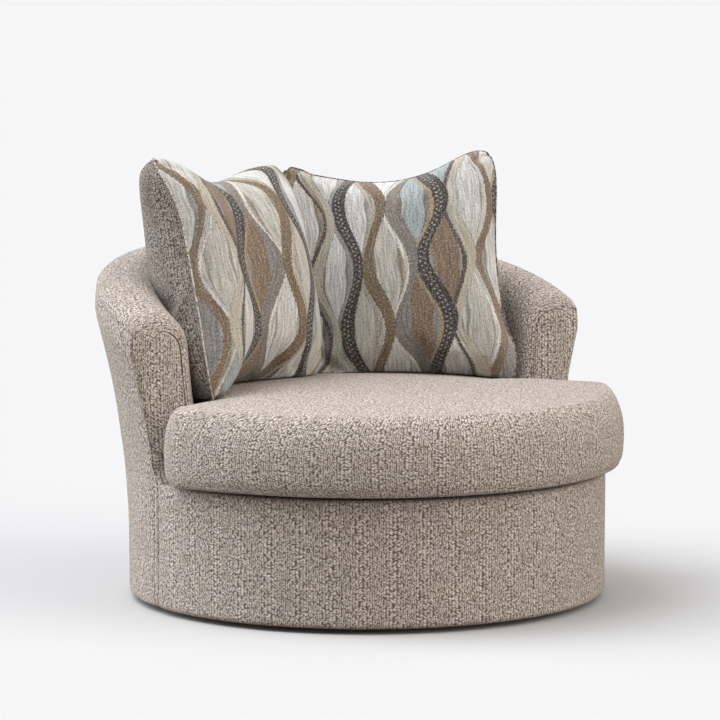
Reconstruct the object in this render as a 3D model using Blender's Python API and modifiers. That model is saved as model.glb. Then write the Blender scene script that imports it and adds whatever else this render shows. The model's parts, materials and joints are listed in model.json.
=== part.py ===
# Swivel accent chair: an upholstered barrel drum on a ball-bearing ring base,
# with a loose seat cushion and two loose back pillows.
# Metres, +Z up. The chair faces -Y and the origin is on the floor, on the swivel's axis.

import math

import bpy
import bmesh
from mathutils import Matrix, Vector
from mathutils.bvhtree import BVHTree

# Fits
GAP = 0.0003                # between two pieces that touch
BARREL_STEPS = 24           # facets round the half circle of the barrel
FACET_TWIST = 0.0010        # how far the flaring wall's flat facets stray from it

# Drum and barrel, outside the cloth
DRUM_RADIUS = 0.565
FLOOR_GAP = 0.012           # from the floor to the hem
DECK_HEIGHT = 0.300         # top of the drum, under the seat cushion
HEM_ROUND = 0.012
HEM_TURN = 0.018            # cloth turned in under the hem
FLARE = 0.0880              # how far the wall has leant out at FLARE_TOP
FLARE_CURVE = 1.8           # 1 is straight; higher leans out later
FLARE_START = 0.112
FLARE_TOP = 0.720
ARM_FLARE_TURN = math.radians(50)   # from here to the arm the flare starts higher up
ARM_FLARE_START = 0.280
BACK_FLARE_SHARE = 0.62     # the flare straight behind, as a share of the sides'
BARREL_WALL = 0.140         # from the drum's outside to the barrel's inside at the deck

# Roll along the rim
ROLL_RADIUS = 0.078
ARM_ROLL_HEIGHT = 0.596     # height of the roll's centre at the arm fronts
BACK_ROLL_HEIGHT = 0.740
RIM_SWEEP = 2.5             # how late the rim drops from the back to the arms
ROLL_SQUARE = 3.8           # 2 is round; the roll is squarer on its outer upper side
ROLL_SEAM = math.radians(24)        # where the roll's seam runs, above its outermost line
SEAM_FLAT = math.radians(4)         # straight on both sides of the seam, so its edges meet
WALL_TOP_DROP = 0.024       # the plain outer wall ends this far below the roll's centre
LIP_WIDTH = 0.032           # the front border's lip on the deck
LIP_ROUND = 0.006

# Arm fronts
ARM_SETBACK = 0.020         # how far the arm front has leant back at its top
SETBACK_TOP = 0.490
ARM_PAD_TOP = 0.010         # padding between the arm's cover and its board, at the top
ARM_PUFF = 0.004

# Upholstery layers
COVER = 0.003
BACK_BOARD = 0.004
FRONT_BOARD = 0.005
DECK_PAD = 0.0195

# Wooden frame
FRAME_BOARD = 0.018
RING_LAYERS = 2             # boards glued to make each ring
BOTTOM_RING_WIDTH = 0.112
SEAT_RING_WIDTH = 0.162
POSTS = 8
POST_WIDTH = 0.060
POST_THICK = 0.022
SLATS = 5
SLAT_SPREAD = math.radians(132)
SLAT_WIDTH = 0.060
SLAT_THICK = 0.020
TOP_RAIL_HEIGHT = 0.050
TOP_RAIL_THICK = 0.022
TOP_RAIL_DROP = 0.005       # the rail's top edge, below the roll's centre
MOUNT_RAIL_WIDTH = 0.060
MOUNT_RAIL_HEIGHT = 0.045
MOUNT_RAIL_SPACING = 0.170
MOUNT_RAIL_INSET = 0.022    # from the rails' corners to the rings' outside

# Seat springs
SPRINGS = 5
SPRING_SPACING = 0.115
SPRING_WIRE = 0.0038
SPRING_SWING = 0.026
SPRING_PITCH = 0.085
SPRING_SEAT = 0.020         # how far a spring's end lies on the seat ring

# Swivel base
GLIDES = 6
GLIDE_HEIGHT = 0.006
GLIDE_RADIUS = 0.016
BASE_RING_RADIUS = 0.280
BASE_TUBE = 0.022
SPIDER_THICK = 0.004
SPIDER_ARMS = 4
SPIDER_TIP_WIDTH = 0.034
SPIDER_ROOT_WIDTH = 0.070
SPIDER_ROOT = 0.095
SPIDER_VALLEY = 0.066
LOWER_PLATE_RADIUS = 0.075
PLATE_THICK = 0.004
BALLS = 10
BALL = 0.0095
BALL_PATH_RADIUS = 0.055
CAGE_WIDTH = 0.014
CAGE_THICK = 0.0016
UPPER_PLATE_SIDE = 0.200
UPPER_PLATE_CORNER = 0.016
BOLT_SHANK = 0.008
BOLT_LENGTH = 0.036
BOLT_HEAD = 0.013           # across flats
BOLT_HEAD_HEIGHT = 0.0053
BOLT_CLEARANCE = 0.0004     # round a shank in its hole
RIVET_SHANK = 0.016
RIVET_HEAD = 0.028
RIVET_HEAD_HEIGHT = 0.003
RIVET_CROWN = 0.6           # flat on the rivet's heads, as a share of their width

# Seat cushion
CUSHION_OVERHANG = 0.043    # how far the half-disc front passes the drum
CUSHION_PLAY = 0.006        # between its round back and the barrel
CUSHION_SIDE_HEIGHT = 0.187
CUSHION_CROWN = 0.020
CUSHION_BOTTOM_TUCK = 0.034
CUSHION_TOP_TUCK = 0.040
EAR_BACK = -0.030           # back edge of the ears, in front of the arms
EAR_ROUND = 0.100
EAR_DROP = 0.005            # how much lower the ears' corners are
EAR_FILLET = 0.030

# Pillows
PILLOW_WIDTH = 0.570
PILLOW_HEIGHT = 0.615       # before its foot is pressed flat
PILLOW_FULLNESS = 0.42      # under 1 the pillow is fuller near its seam
PILLOW_EARS = 11            # lower is rounder; how square the pillows' corners are
PILLOW_GRID = 12
PILLOW_SINK = 0.062         # how far the ears press down on the cushion
PRESS_GAP = 0.0017          # between the pillows and what they lean on
PRESS_ROUNDS = 20
REST_GAP = 0.0009           # from a pressed pillow's lowest point to the cushion

LEFT_PILLOW = {
    "name": "pillow_left",
    "turn": math.radians(-49.64),      # where its middle stands, from straight behind
    "inward": 0.1193,                  # from the barrel's inside to its middle
    "heading": math.radians(28.0),
    "lean": math.radians(15.0),
    "roll": math.radians(5.0),
    "bend": 0.45,
    "top_pull": 0.135,                 # how far top and bottom draw in between the ears
    "side_pull": 0.070,
    "front": 0.150,
    "back": 0.100,
    "slack_side": "back",
    "slack_from": 0.30,
    "swell": 0.060,                    # the front's extra fullness toward the chair's middle
}
RIGHT_PILLOW = {
    "name": "pillow_right",
    "turn": math.radians(45.327),
    "inward": 0.17751,
    "heading": math.radians(-36.0),
    "lean": math.radians(16.0),
    "roll": math.radians(-6.0),
    "bend": 0.80,
    "top_pull": 0.190,
    "side_pull": 0.100,
    "front": 0.100,
    "back": 0.090,
    "slack_side": "front",
    "slack_from": -0.15,
    "swell": 0.0,
}

# Sizes that follow from those above
FACET_DIP = 1 - math.cos(math.pi / (2 * BARREL_STEPS))
LAYER = GAP + DRUM_RADIUS * FACET_DIP + FACET_TWIST      # between two faceted layers
BOARD_INSET = COVER + LAYER
PADDING_INSET = COVER + 2 * LAYER
FRAME_INSET = BOARD_INSET + max(BACK_BOARD, FRONT_BOARD) + LAYER
FOAM_BACK_INSET = FRAME_INSET + max(SLAT_THICK, TOP_RAIL_THICK) + LAYER
RING_RADIUS = DRUM_RADIUS - FRAME_INSET
BOTTOM_RING_BORE = RING_RADIUS - BOTTOM_RING_WIDTH
SEAT_RING_BORE = RING_RADIUS - SEAT_RING_WIDTH
MOUNT_RAIL_END = RING_RADIUS - MOUNT_RAIL_INSET
SEAT_INNER_RADIUS = DRUM_RADIUS - BARREL_WALL
CUSHION_RADIUS = DRUM_RADIUS + CUSHION_OVERHANG
CUSHION_BACK_RADIUS = SEAT_INNER_RADIUS - CUSHION_PLAY
RING_THICK = FRAME_BOARD * RING_LAYERS
TUBE_TOP = GLIDE_HEIGHT + BASE_TUBE
SPIDER_BOTTOM = TUBE_TOP + GAP
LOWER_PLATE_BOTTOM = SPIDER_BOTTOM + SPIDER_THICK + GAP
BALL_BOTTOM = LOWER_PLATE_BOTTOM + PLATE_THICK + GAP
UPPER_PLATE_BOTTOM = BALL_BOTTOM + BALL + GAP
MOUNT_RAIL_BOTTOM = UPPER_PLATE_BOTTOM + PLATE_THICK + GAP
BOTTOM_RING_BOTTOM = FLOOR_GAP + COVER + 2 * GAP
BOARD_FOOT = FLOOR_GAP + HEM_ROUND + GAP
BOTTOM_RING_TOP = MOUNT_RAIL_BOTTOM - GAP
DECK_PAD_TOP = DECK_HEIGHT - COVER - GAP
DECK_PAD_BOTTOM = DECK_PAD_TOP - DECK_PAD
SPRING_HEIGHT = DECK_PAD_BOTTOM - GAP - SPRING_WIRE / 2
SEAT_RING_TOP = SPRING_HEIGHT - SPRING_WIRE / 2 - GAP
SEAT_RING_BOTTOM = SEAT_RING_TOP - RING_THICK
BARREL_FOOT = SEAT_RING_TOP + GAP
CUSHION_BOTTOM = DECK_HEIGHT + GAP
BOLT_OFFSET = MOUNT_RAIL_SPACING / 2
QUARTER = math.pi / 2
BOARD_FRONT = ARM_SETBACK + COVER + 2 * GAP + ARM_PAD_TOP
BOARD_BACK = BOARD_FRONT + FRAME_BOARD
ARM_TURN = QUARTER - ARM_SETBACK / DRUM_RADIUS     # where the arm fronts stand

COLOURS = {
    "chenille": ((0.430, 0.385, 0.345), 0.95, 0.0),
    "pillow_cloth": ((0.330, 0.285, 0.250), 0.92, 0.0),
    "foam": ((0.800, 0.740, 0.560), 0.95, 0.0),
    "black_cloth": ((0.020, 0.020, 0.022), 0.90, 0.0),
    "plywood": ((0.560, 0.390, 0.220), 0.60, 0.0),
    "hardwood": ((0.420, 0.260, 0.130), 0.55, 0.0),
    "fibreboard": ((0.350, 0.240, 0.140), 0.80, 0.0),
    "black_steel": ((0.018, 0.018, 0.020), 0.42, 0.6),
    "bright_steel": ((0.560, 0.560, 0.570), 0.28, 1.0),
    "black_plastic": ((0.022, 0.022, 0.022), 0.50, 0.0),
}


# Scene and helpers


def clear_scene():
    for obj in list(bpy.data.objects):
        bpy.data.objects.remove(obj, do_unlink=True)


def new_collection(name):
    collection = bpy.data.collections.new(name)
    bpy.context.scene.collection.children.link(collection)
    return collection


def material(name):
    found = bpy.data.materials.get(name)
    if found:
        return found
    colour, roughness, metallic = COLOURS[name]
    made = bpy.data.materials.new(name)
    made.use_nodes = True
    shader = made.node_tree.nodes["Principled BSDF"]
    shader.inputs["Base Color"].default_value = (*colour, 1.0)
    shader.inputs["Roughness"].default_value = roughness
    shader.inputs["Metallic"].default_value = metallic
    return made


def empty(name, parent=None):
    obj = bpy.data.objects.new(name, None)
    obj.empty_display_size = 0.1
    PARTS.objects.link(obj)
    obj.parent = parent
    return obj


def place(obj, finish, parent, location=(0, 0, 0), turn=0.0):
    """Puts a finished piece in the parts collection, on the body that carries it."""
    for collection in list(obj.users_collection):
        collection.objects.unlink(obj)
    PARTS.objects.link(obj)
    obj.data.materials.clear()
    obj.data.materials.append(material(finish))
    obj.parent = parent
    obj.location = location
    obj.rotation_euler = (0, 0, turn)
    return obj


def cutter(obj):
    for collection in list(obj.users_collection):
        collection.objects.unlink(obj)
    CUTTERS.objects.link(obj)
    obj.hide_render = True
    obj.display_type = "WIRE"
    return obj


def boolean(obj, other, operation):
    modifier = obj.modifiers.new(other.name, "BOOLEAN")
    modifier.operation = operation
    modifier.solver = "EXACT"
    modifier.object = cutter(other)


def mesh_object(name, points, faces, smooth=False):
    mesh = bpy.data.meshes.new(name)
    mesh.from_pydata([tuple(point) for point in points], [], faces)
    mesh.validate()
    if smooth:
        mesh.shade_smooth()
        mesh.set_sharp_from_angle(angle=math.radians(40))
    return bpy.data.objects.new(name, mesh)


def face_out(obj):
    """Turns the faces of a closed mesh outwards."""
    work = bmesh.new()
    work.from_mesh(obj.data)
    bmesh.ops.recalc_face_normals(work, faces=work.faces)
    if work.calc_volume(signed=True) < 0:
        bmesh.ops.reverse_faces(work, faces=work.faces)
    work.to_mesh(obj.data)
    work.free()
    return obj


def box(name, size, bevel=0.0):
    bpy.ops.mesh.primitive_cube_add(size=1)
    obj = bpy.context.object
    obj.name = name
    obj.data.transform(Matrix.Diagonal((*size, 1)))
    if bevel:
        modifier = obj.modifiers.new("Edges", "BEVEL")
        modifier.width = bevel
        modifier.segments = 1
    return obj


def cylinder(name, radius, depth, sides):
    bpy.ops.mesh.primitive_cylinder_add(radius=radius, depth=depth, vertices=sides)
    obj = bpy.context.object
    obj.name = name
    return obj


def turned(name, profile, steps, closed):
    """A round piece about Z from (radius, height) points that run down its outer side."""
    edges = [(i, i + 1) for i in range(len(profile) - 1)]
    if closed:
        edges.append((len(profile) - 1, 0))
    mesh = bpy.data.meshes.new(name)
    mesh.from_pydata([(r, 0, z) for r, z in profile], edges, [])
    obj = bpy.data.objects.new(name, mesh)
    modifier = obj.modifiers.new("Turn", "SCREW")
    modifier.axis = "Z"
    modifier.steps = modifier.render_steps = steps
    modifier.use_merge_vertices = True
    modifier.merge_threshold = 0.00001
    modifier.use_smooth_shade = True
    return obj


def ring(name, outer, bore, bottom, top, steps):
    profile = [(outer, top), (outer, bottom), (bore, bottom), (bore, top)]
    return turned(name, profile, steps, closed=True)


def plate(name, outline, holes, thickness):
    """A flat plate with its middle plane at z = 0, from an outline and round holes."""
    curve = bpy.data.curves.new(name, "CURVE")
    curve.dimensions = "2D"
    curve.fill_mode = "BOTH"
    curve.extrude = thickness / 2
    circles = [circle_points(radius, sides, x, y) for x, y, radius, sides in holes]
    for points in [outline, *circles]:
        spline = curve.splines.new("POLY")
        spline.points.add(len(points) - 1)
        for point, (x, y) in zip(spline.points, points):
            point.co = (x, y, 0, 1)
        spline.use_cyclic_u = True
    return bpy.data.objects.new(name, curve)


def tube(name, points, radius, sides_level):
    curve = bpy.data.curves.new(name, "CURVE")
    curve.dimensions = "3D"
    curve.bevel_depth = radius
    curve.bevel_resolution = sides_level
    curve.use_fill_caps = True
    spline = curve.splines.new("POLY")
    spline.points.add(len(points) - 1)
    for point, co in zip(spline.points, points):
        point.co = (*co, 1)
    return bpy.data.objects.new(name, curve)


def circle_points(radius, sides, x=0.0, y=0.0):
    turns = [2 * math.pi * i / sides for i in range(sides)]
    return [(x + radius * math.cos(a), y + radius * math.sin(a)) for a in turns]


def arc_points(x, y, radius, start, end, steps):
    """Points round part of a circle, both ends included."""
    angles = [start + (end - start) * i / steps for i in range(steps + 1)]
    return [(x + radius * math.cos(a), y + radius * math.sin(a)) for a in angles]


def grid_faces(rows, columns, closed=False):
    """Quads between neighbouring rows; closed joins each row's end to its start."""
    faces = []
    for i in range(rows - 1):
        for j in range(columns if closed else columns - 1):
            k = (j + 1) % columns
            corners = (i * columns + j, i * columns + k)
            faces.append((*corners, (i + 1) * columns + k, (i + 1) * columns + j))
    return faces


def shell(name, rows, thickness):
    """An open sheet of rows of points, thickened inwards from its outer face."""
    points = [point for row in rows for point in row]
    obj = mesh_object(name, points, grid_faces(len(rows), len(rows[0])), smooth=True)
    modifier = obj.modifiers.new("Thickness", "SOLIDIFY")
    modifier.thickness = thickness
    modifier.offset = -1
    modifier.use_even_offset = True
    return obj


def solid_rows(name, rows):
    """A solid from closed loops of points, with a flat face on each end."""
    columns = len(rows[0])
    points = [point for row in rows for point in row]
    faces = grid_faces(len(rows), columns, closed=True)
    last = (len(rows) - 1) * columns
    faces.append(tuple(range(columns)))
    faces.append(tuple(last + j for j in range(columns)))
    return face_out(mesh_object(name, points, faces, smooth=True))


# Shape of the barrel


def smooth_step(value):
    value = min(1.0, max(0.0, value))
    return value * value * (3 - 2 * value)


def outer_radius(height, turn):
    """Outside of the cloth at a height; turn is 0 at the back and a quarter at the arms.

    At the arms the flare starts higher, so that the wall meets the straight front.
    """
    toward_arm = smooth_step((abs(turn) - ARM_FLARE_TURN) / (QUARTER - ARM_FLARE_TURN))
    start = FLARE_START + (ARM_FLARE_START - FLARE_START) * toward_arm
    rise = max(0.0, height - start) / (FLARE_TOP - start)
    share = 1 - (1 - BACK_FLARE_SHARE) * math.cos(turn) ** 4
    return DRUM_RADIUS + FLARE * share * rise**FLARE_CURVE


def roll_centre(turn):
    """(radius, height) of the roll's centre."""
    along = min(1.0, abs(turn) / ARM_TURN)
    height = BACK_ROLL_HEIGHT - (BACK_ROLL_HEIGHT - ARM_ROLL_HEIGHT) * along**RIM_SWEEP
    return outer_radius(height, turn) - ROLL_RADIUS, height


def inner_tangent(turn, inset=0.0):
    """Angle on the roll where the straight inner wall meets it."""
    radius, height = roll_centre(turn)
    across = SEAT_INNER_RADIUS + inset - radius
    down = BARREL_FOOT - height
    distance = math.hypot(across, down)
    return math.atan2(down, across) % (2 * math.pi) - math.acos((ROLL_RADIUS - inset) / distance)


def on_roll(turn, angle, inset=0.0):
    radius, height = roll_centre(turn)
    reach = ROLL_RADIUS - inset
    across = math.cos(angle)
    up = math.sin(angle)
    if across > 0 and up > 0:
        across **= 2 / ROLL_SQUARE
        up **= 2 / ROLL_SQUARE
    return radius + reach * across, height + reach * up


def inner_radius(height, turn, inset=0.0):
    """Inside face of the barrel at a height up to the top of the roll."""
    top = on_roll(turn, inner_tangent(turn, inset), inset)
    if height <= top[1]:
        share = (height - BARREL_FOOT) / (top[1] - BARREL_FOOT)
        foot = SEAT_INNER_RADIUS + inset
        return foot + (top[0] - foot) * share
    radius, centre = roll_centre(turn)
    reach = ROLL_RADIUS - inset
    return radius - math.sqrt(max(0.0, reach**2 - (height - centre) ** 2))


def front_face(height):
    """Y of the arm's front face: it leans back above the deck, then stands upright."""
    share = (height - DECK_HEIGHT) / (SETBACK_TOP - DECK_HEIGHT)
    return ARM_SETBACK * min(1.0, max(0.0, share))


def behind_cover(height):
    """Y just behind the arm's front cover, where the barrel's covers start."""
    return front_face(height) + COVER + GAP


def behind_board(height):
    """Y just behind the upright arm board, where the foam, rail and back board start."""
    return BOARD_BACK + GAP


def to_world(radius, turn, height):
    return radius * math.sin(turn), radius * math.cos(turn), height


def swept_point(along, profile_point, end):
    """A profile point carried along the barrel; along is -1 and 1 at its two ends.

    profile_point gives (radius, height) at a turn, and end gives the ends' Y at a height.
    """
    turn = along * QUARTER
    for _ in range(5):
        radius, height = profile_point(turn)
        turn = along * math.acos(end(height) / radius)
    radius, height = profile_point(turn)
    return to_world(radius, turn, height)


def sweep(profile_points, end):
    """Rows of points, one row for each step round the barrel."""
    places = [2 * i / BARREL_STEPS - 1 for i in range(BARREL_STEPS + 1)]
    return [[swept_point(u, point, end) for point in profile_points] for u in places]


def roll_points(inset, start_angle, end_angle, steps):
    """Profile points over the roll; None as a start is where the inner wall meets it."""
    def point_at(share):
        def profile_point(turn):
            start = inner_tangent(turn, inset) if start_angle is None else start_angle
            return on_roll(turn, start + (end_angle - start) * share, inset)
        return profile_point
    return [point_at(i / steps) for i in range(steps + 1)]


def roll_point(angle):
    return lambda turn: on_roll(turn, angle)


def inner_wall_points(inset, foot=BARREL_FOOT):
    """Profile points up the inner wall, leaving out the one on the roll."""
    def point_at(height):
        return lambda turn: (inner_radius(height, turn, inset), height)
    return [point_at(height) for height in (foot, DECK_HEIGHT, SETBACK_TOP)]


def outer_point(inset, height):
    """A profile point on the outer wall at a height."""
    return lambda turn: (outer_radius(height, turn) - inset, height)


def below_roll(inset, drop, share=1.0):
    """A profile point on the outer wall at a drop below the roll's centre.

    A share under 1 takes it part of the way up from the top of the arm's leaning front.
    """
    def profile_point(turn):
        height = roll_centre(turn)[1] - drop
        height = SETBACK_TOP + (height - SETBACK_TOP) * share
        return outer_radius(height, turn) - inset, height
    return profile_point


def outer_wall_points(inset, foot, drop):
    """Profile points up the outer wall, from a foot to a drop below the roll's centre."""
    middle = (DECK_HEIGHT + SETBACK_TOP) / 2
    low = [height for height in (FLARE_START, (FLARE_START + DECK_HEIGHT) / 2) if height > foot]
    levels = [foot, *low, DECK_HEIGHT, middle, SETBACK_TOP]
    walls = [outer_point(inset, height) for height in levels]
    return walls + [below_roll(inset, drop, 0.5), below_roll(inset, drop)]


def hem_points():
    """Profile points from the cloth turned in under the hem, round the hem's corner."""
    corner = arc_points(DRUM_RADIUS - HEM_ROUND, FLOOR_GAP + HEM_ROUND, HEM_ROUND,
                        -QUARTER, 0, 3)
    return [(DRUM_RADIUS - HEM_TURN, FLOOR_GAP), *corner]


# Upholstery of the barrel


def outside_back_cover(parent):
    profile = [lambda turn, point=point: point for point in hem_points()]
    profile += outer_wall_points(0, FLARE_START, WALL_TOP_DROP)
    profile += roll_points(0, 0, ROLL_SEAM - SEAM_FLAT, 2)
    profile.append(roll_point(ROLL_SEAM - 2 * GAP / ROLL_RADIUS))
    obj = shell("outside_back_cover", sweep(profile, behind_cover), COVER)
    place(obj, "chenille", parent)


def inside_back_cover(parent):
    foot = BARREL_FOOT + COVER / 3      # the leaning wall's lower edge dips as it is thickened
    profile = inner_wall_points(0, foot) + roll_points(0, None, ROLL_SEAM + SEAM_FLAT, 8)
    profile.append(roll_point(ROLL_SEAM))
    obj = shell("inside_back_cover", sweep(profile, behind_cover)[::-1], COVER)
    return place(obj, "chenille", parent)


def back_foam(parent):
    profile = inner_wall_points(PADDING_INSET) + roll_points(PADDING_INSET, None, 0, 7)
    profile.append(below_roll(FOAM_BACK_INSET, TOP_RAIL_DROP - GAP))
    profile += outer_wall_points(FOAM_BACK_INSET, BARREL_FOOT, TOP_RAIL_HEIGHT)[::-1]
    place(solid_rows("back_foam", sweep(profile, behind_board)), "foam", parent)


def outside_back_board(parent):
    profile = outer_wall_points(BOARD_INSET, BOARD_FOOT, WALL_TOP_DROP)
    obj = shell("outside_back_board", sweep(profile, behind_board), BACK_BOARD)
    place(obj, "fibreboard", parent)


def front_half_rows(profile, beyond):
    """Rows of (radius, height) points carried round the front, to just behind the middle."""
    steps = BARREL_STEPS
    rows = []
    for i in range(steps + 1):
        row = []
        for radius, height in profile:
            reach = QUARTER + math.asin(beyond / radius)
            turn = math.pi - reach + 2 * reach * i / steps
            row.append(to_world(radius, turn, height))
        rows.append(row)
    return rows


def front_border_cover(parent):
    profile = hem_points()
    profile += arc_points(DRUM_RADIUS - LIP_ROUND, DECK_HEIGHT - LIP_ROUND, LIP_ROUND,
                          0, QUARTER, 2)
    profile.append((DRUM_RADIUS - LIP_ROUND - LIP_WIDTH, DECK_HEIGHT))
    obj = shell("front_border_cover", front_half_rows(profile, COVER - 2 * GAP), COVER)
    return place(obj, "chenille", parent)


def front_board(parent):
    radius = DRUM_RADIUS - BOARD_INSET
    profile = [(radius, BOARD_FOOT), (radius, DECK_HEIGHT - LIP_ROUND)]
    obj = shell("front_board", front_half_rows(profile, BOARD_BACK - LAYER), FRONT_BOARD)
    return place(obj, "plywood", parent)


def arm_rows(inset, foot, face, side, columns, puff=0.0):
    """Rows of points across the arm, from its foot to the top of the roll.

    face gives the rows' Y at a height.
    """
    reach = ROLL_RADIUS - inset
    turn = QUARTER
    for _ in range(5):
        radius, centre = roll_centre(turn)
        turn = math.acos(face(centre) / radius)
    levels = [foot] if foot > DECK_HEIGHT else [foot, DECK_HEIGHT]
    levels += [(DECK_HEIGHT + SETBACK_TOP) / 2, SETBACK_TOP, (SETBACK_TOP + centre) / 2, centre]
    levels += [centre + reach * math.sin(math.radians(a)) for a in (20, 40, 58, 72, 83)]
    rows = []
    for level in levels:
        y = face(level)
        if level > centre:
            up = (level - centre) / reach
            low = radius - reach * math.sqrt(1 - up**2)
            high = radius + reach * (1 - up**ROLL_SQUARE) ** (1 / ROLL_SQUARE)
        else:
            low = inner_radius(level, turn, inset)
            high = outer_radius(level, turn) - inset
        row = []
        for column in range(columns + 1):
            share = column / columns
            along = low + (high - low) * share
            x = math.sqrt(along**2 - y**2)
            swell = puff * 4 * share * (1 - share)
            row.append((side * x, y - swell, level))
        rows.append(row)
    return rows


def arm_front_cover(name, side, parent):
    lean = ARM_SETBACK / (SETBACK_TOP - DECK_HEIGHT)
    rows = arm_rows(0, CUSHION_BOTTOM + COVER * lean, front_face, side, 4, ARM_PUFF)
    if side < 0:
        rows = [row[::-1] for row in rows]
    return place(shell(name, rows, COVER), "chenille", parent)


def between_rows(name, front, back):
    """A solid between two grids of the same size, one behind the other."""
    loops = []
    for near, far in zip(front, back):
        loops.append(list(near) + list(far[::-1]))
    return solid_rows(name, loops)


def arm_pad(name, side, parent):
    front = arm_rows(PADDING_INSET, CUSHION_BOTTOM, behind_cover, side, 2)
    back = arm_rows(PADDING_INSET, CUSHION_BOTTOM, lambda height: BOARD_FRONT - GAP, side, 2)
    return place(between_rows(name, front, back), "foam", parent)


def arm_board(name, side, parent):
    front = arm_rows(FRAME_INSET, BARREL_FOOT, lambda height: BOARD_FRONT, side, 2)
    back = arm_rows(FRAME_INSET, BARREL_FOOT, lambda height: BOARD_BACK, side, 2)
    return place(between_rows(name, front, back), "plywood", parent)


# Wooden frame


def rings(parent):
    bottom = ring("bottom_ring", RING_RADIUS, BOTTOM_RING_BORE,
                  BOTTOM_RING_BOTTOM, BOTTOM_RING_TOP, 2 * BARREL_STEPS)
    place(bottom, "plywood", parent)
    seat = ring("seat_ring", RING_RADIUS, SEAT_RING_BORE,
                SEAT_RING_BOTTOM, SEAT_RING_TOP, 2 * BARREL_STEPS)
    place(seat, "plywood", parent)


def drum_posts(parent):
    height = SEAT_RING_BOTTOM - BOTTOM_RING_TOP - 2 * GAP
    reach = math.sqrt(RING_RADIUS**2 - (POST_WIDTH / 2) ** 2) - RING_RADIUS * FACET_DIP
    middle = reach - POST_THICK / 2
    for i in range(POSTS):
        turn = 2 * math.pi * (i + 0.5) / POSTS
        post = box(f"drum_post_{i + 1}", (POST_WIDTH, POST_THICK, height), bevel=0.002)
        x, y, _ = to_world(middle, turn, 0)
        place(post, "hardwood", parent, (x, y, BOTTOM_RING_TOP + GAP + height / 2), -turn)


def slat_outline(turn):
    """(radius, height) outline of a slat that follows the outside of the barrel."""
    half_turn = SLAT_WIDTH / 2 / DRUM_RADIUS
    top = min(roll_centre(turn - half_turn)[1], roll_centre(turn + half_turn)[1])
    top -= TOP_RAIL_HEIGHT + TOP_RAIL_DROP + GAP
    dip = (SLAT_WIDTH / 2) ** 2 / (2 * DRUM_RADIUS)
    inset = FRAME_INSET + dip
    levels = [BARREL_FOOT + (top - BARREL_FOOT) * i / 4 for i in range(5)]
    outer = [(outer_radius(level, turn) - inset, level) for level in levels]
    inner = [(radius - SLAT_THICK + dip + GAP, level) for radius, level in outer]
    return outer + inner[::-1]


def back_slats(parent):
    for i in range(SLATS):
        turn = SLAT_SPREAD * (i / (SLATS - 1) - 0.5)
        obj = plate(f"back_slat_{i + 1}", slat_outline(turn), [], SLAT_WIDTH)
        place(obj, "hardwood", parent)
        stand = Matrix.Rotation(QUARTER, 4, "X")
        obj.matrix_local = Matrix.Rotation(QUARTER - turn, 4, "Z") @ stand


def top_rail(parent):
    top = TOP_RAIL_DROP
    bottom = TOP_RAIL_DROP + TOP_RAIL_HEIGHT
    inner = FRAME_INSET + TOP_RAIL_THICK
    profile = [below_roll(FRAME_INSET, bottom), below_roll(FRAME_INSET, top),
               below_roll(inner, top), below_roll(inner, bottom)]
    place(solid_rows("top_rail", sweep(profile, behind_board)), "plywood", parent)


def mount_rails(parent):
    edge = MOUNT_RAIL_SPACING / 2 + MOUNT_RAIL_WIDTH / 2
    length = 2 * math.sqrt(MOUNT_RAIL_END**2 - edge**2)
    hole = BOLT_SHANK / 2 + BOLT_CLEARANCE
    depth = BOLT_LENGTH - PLATE_THICK
    for name, side in (("mount_rail_front", -1), ("mount_rail_back", 1)):
        rail = box(name, (length, MOUNT_RAIL_WIDTH, MOUNT_RAIL_HEIGHT))
        place(rail, "hardwood", parent,
              (0, side * MOUNT_RAIL_SPACING / 2, MOUNT_RAIL_BOTTOM + MOUNT_RAIL_HEIGHT / 2))
        for end in (-1, 1):
            drill = cylinder(f"{name}_hole_{'left' if end < 0 else 'right'}", hole,
                             2 * (depth + BOLT_CLEARANCE), 16)
            drill.parent = parent
            drill.location = (end * BOLT_OFFSET, side * BOLT_OFFSET, MOUNT_RAIL_BOTTOM)
            boolean(rail, drill, "DIFFERENCE")


# Seat deck


def deck_outline(front, back, steps):
    """A disc whose front half is wider than its back half."""
    wide = arc_points(0, 0, front, math.pi, 2 * math.pi, steps)
    narrow = arc_points(0, 0, back, 0, math.pi, steps)
    return wide + narrow


def deck(parent):
    back = SEAT_INNER_RADIUS * (1 - FACET_DIP) - GAP
    pad_front = RING_RADIUS - GAP
    pad = plate("deck_pad", deck_outline(pad_front, back, 20), [], DECK_PAD)
    place(pad, "foam", parent, (0, 0, DECK_PAD_TOP - DECK_PAD / 2))
    cloth_front = DRUM_RADIUS - LIP_ROUND - LIP_WIDTH
    cloth_front = cloth_front * (1 - FACET_DIP) - GAP
    cloth = plate("deck_cloth", deck_outline(cloth_front, back, 20), [], COVER)
    place(cloth, "black_cloth", parent, (0, 0, DECK_HEIGHT - COVER / 2))


def seat_springs(parent):
    reach = SEAT_RING_BORE + SPRING_SEAT
    for i in range(SPRINGS):
        x = SPRING_SPACING * (i - (SPRINGS - 1) / 2)
        half = math.sqrt(reach**2 - (abs(x) + SPRING_SWING) ** 2)
        turns = max(2, round(2 * half / SPRING_PITCH))
        pitch = 2 * half / turns
        points = [(x, -half, 0)]
        for k in range(2 * turns):
            swing = SPRING_SWING if k % 2 else -SPRING_SWING
            start = -half + pitch * (k / 2 + 0.12)
            points.append((x + swing, start, 0))
            points.append((x + swing, start + pitch * 0.26, 0))
        points.append((x, half, 0))
        wire = tube(f"seat_spring_{i + 1}", points, SPRING_WIRE / 2, 0)
        place(wire, "bright_steel", parent, (0, 0, SPRING_HEIGHT))


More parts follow.
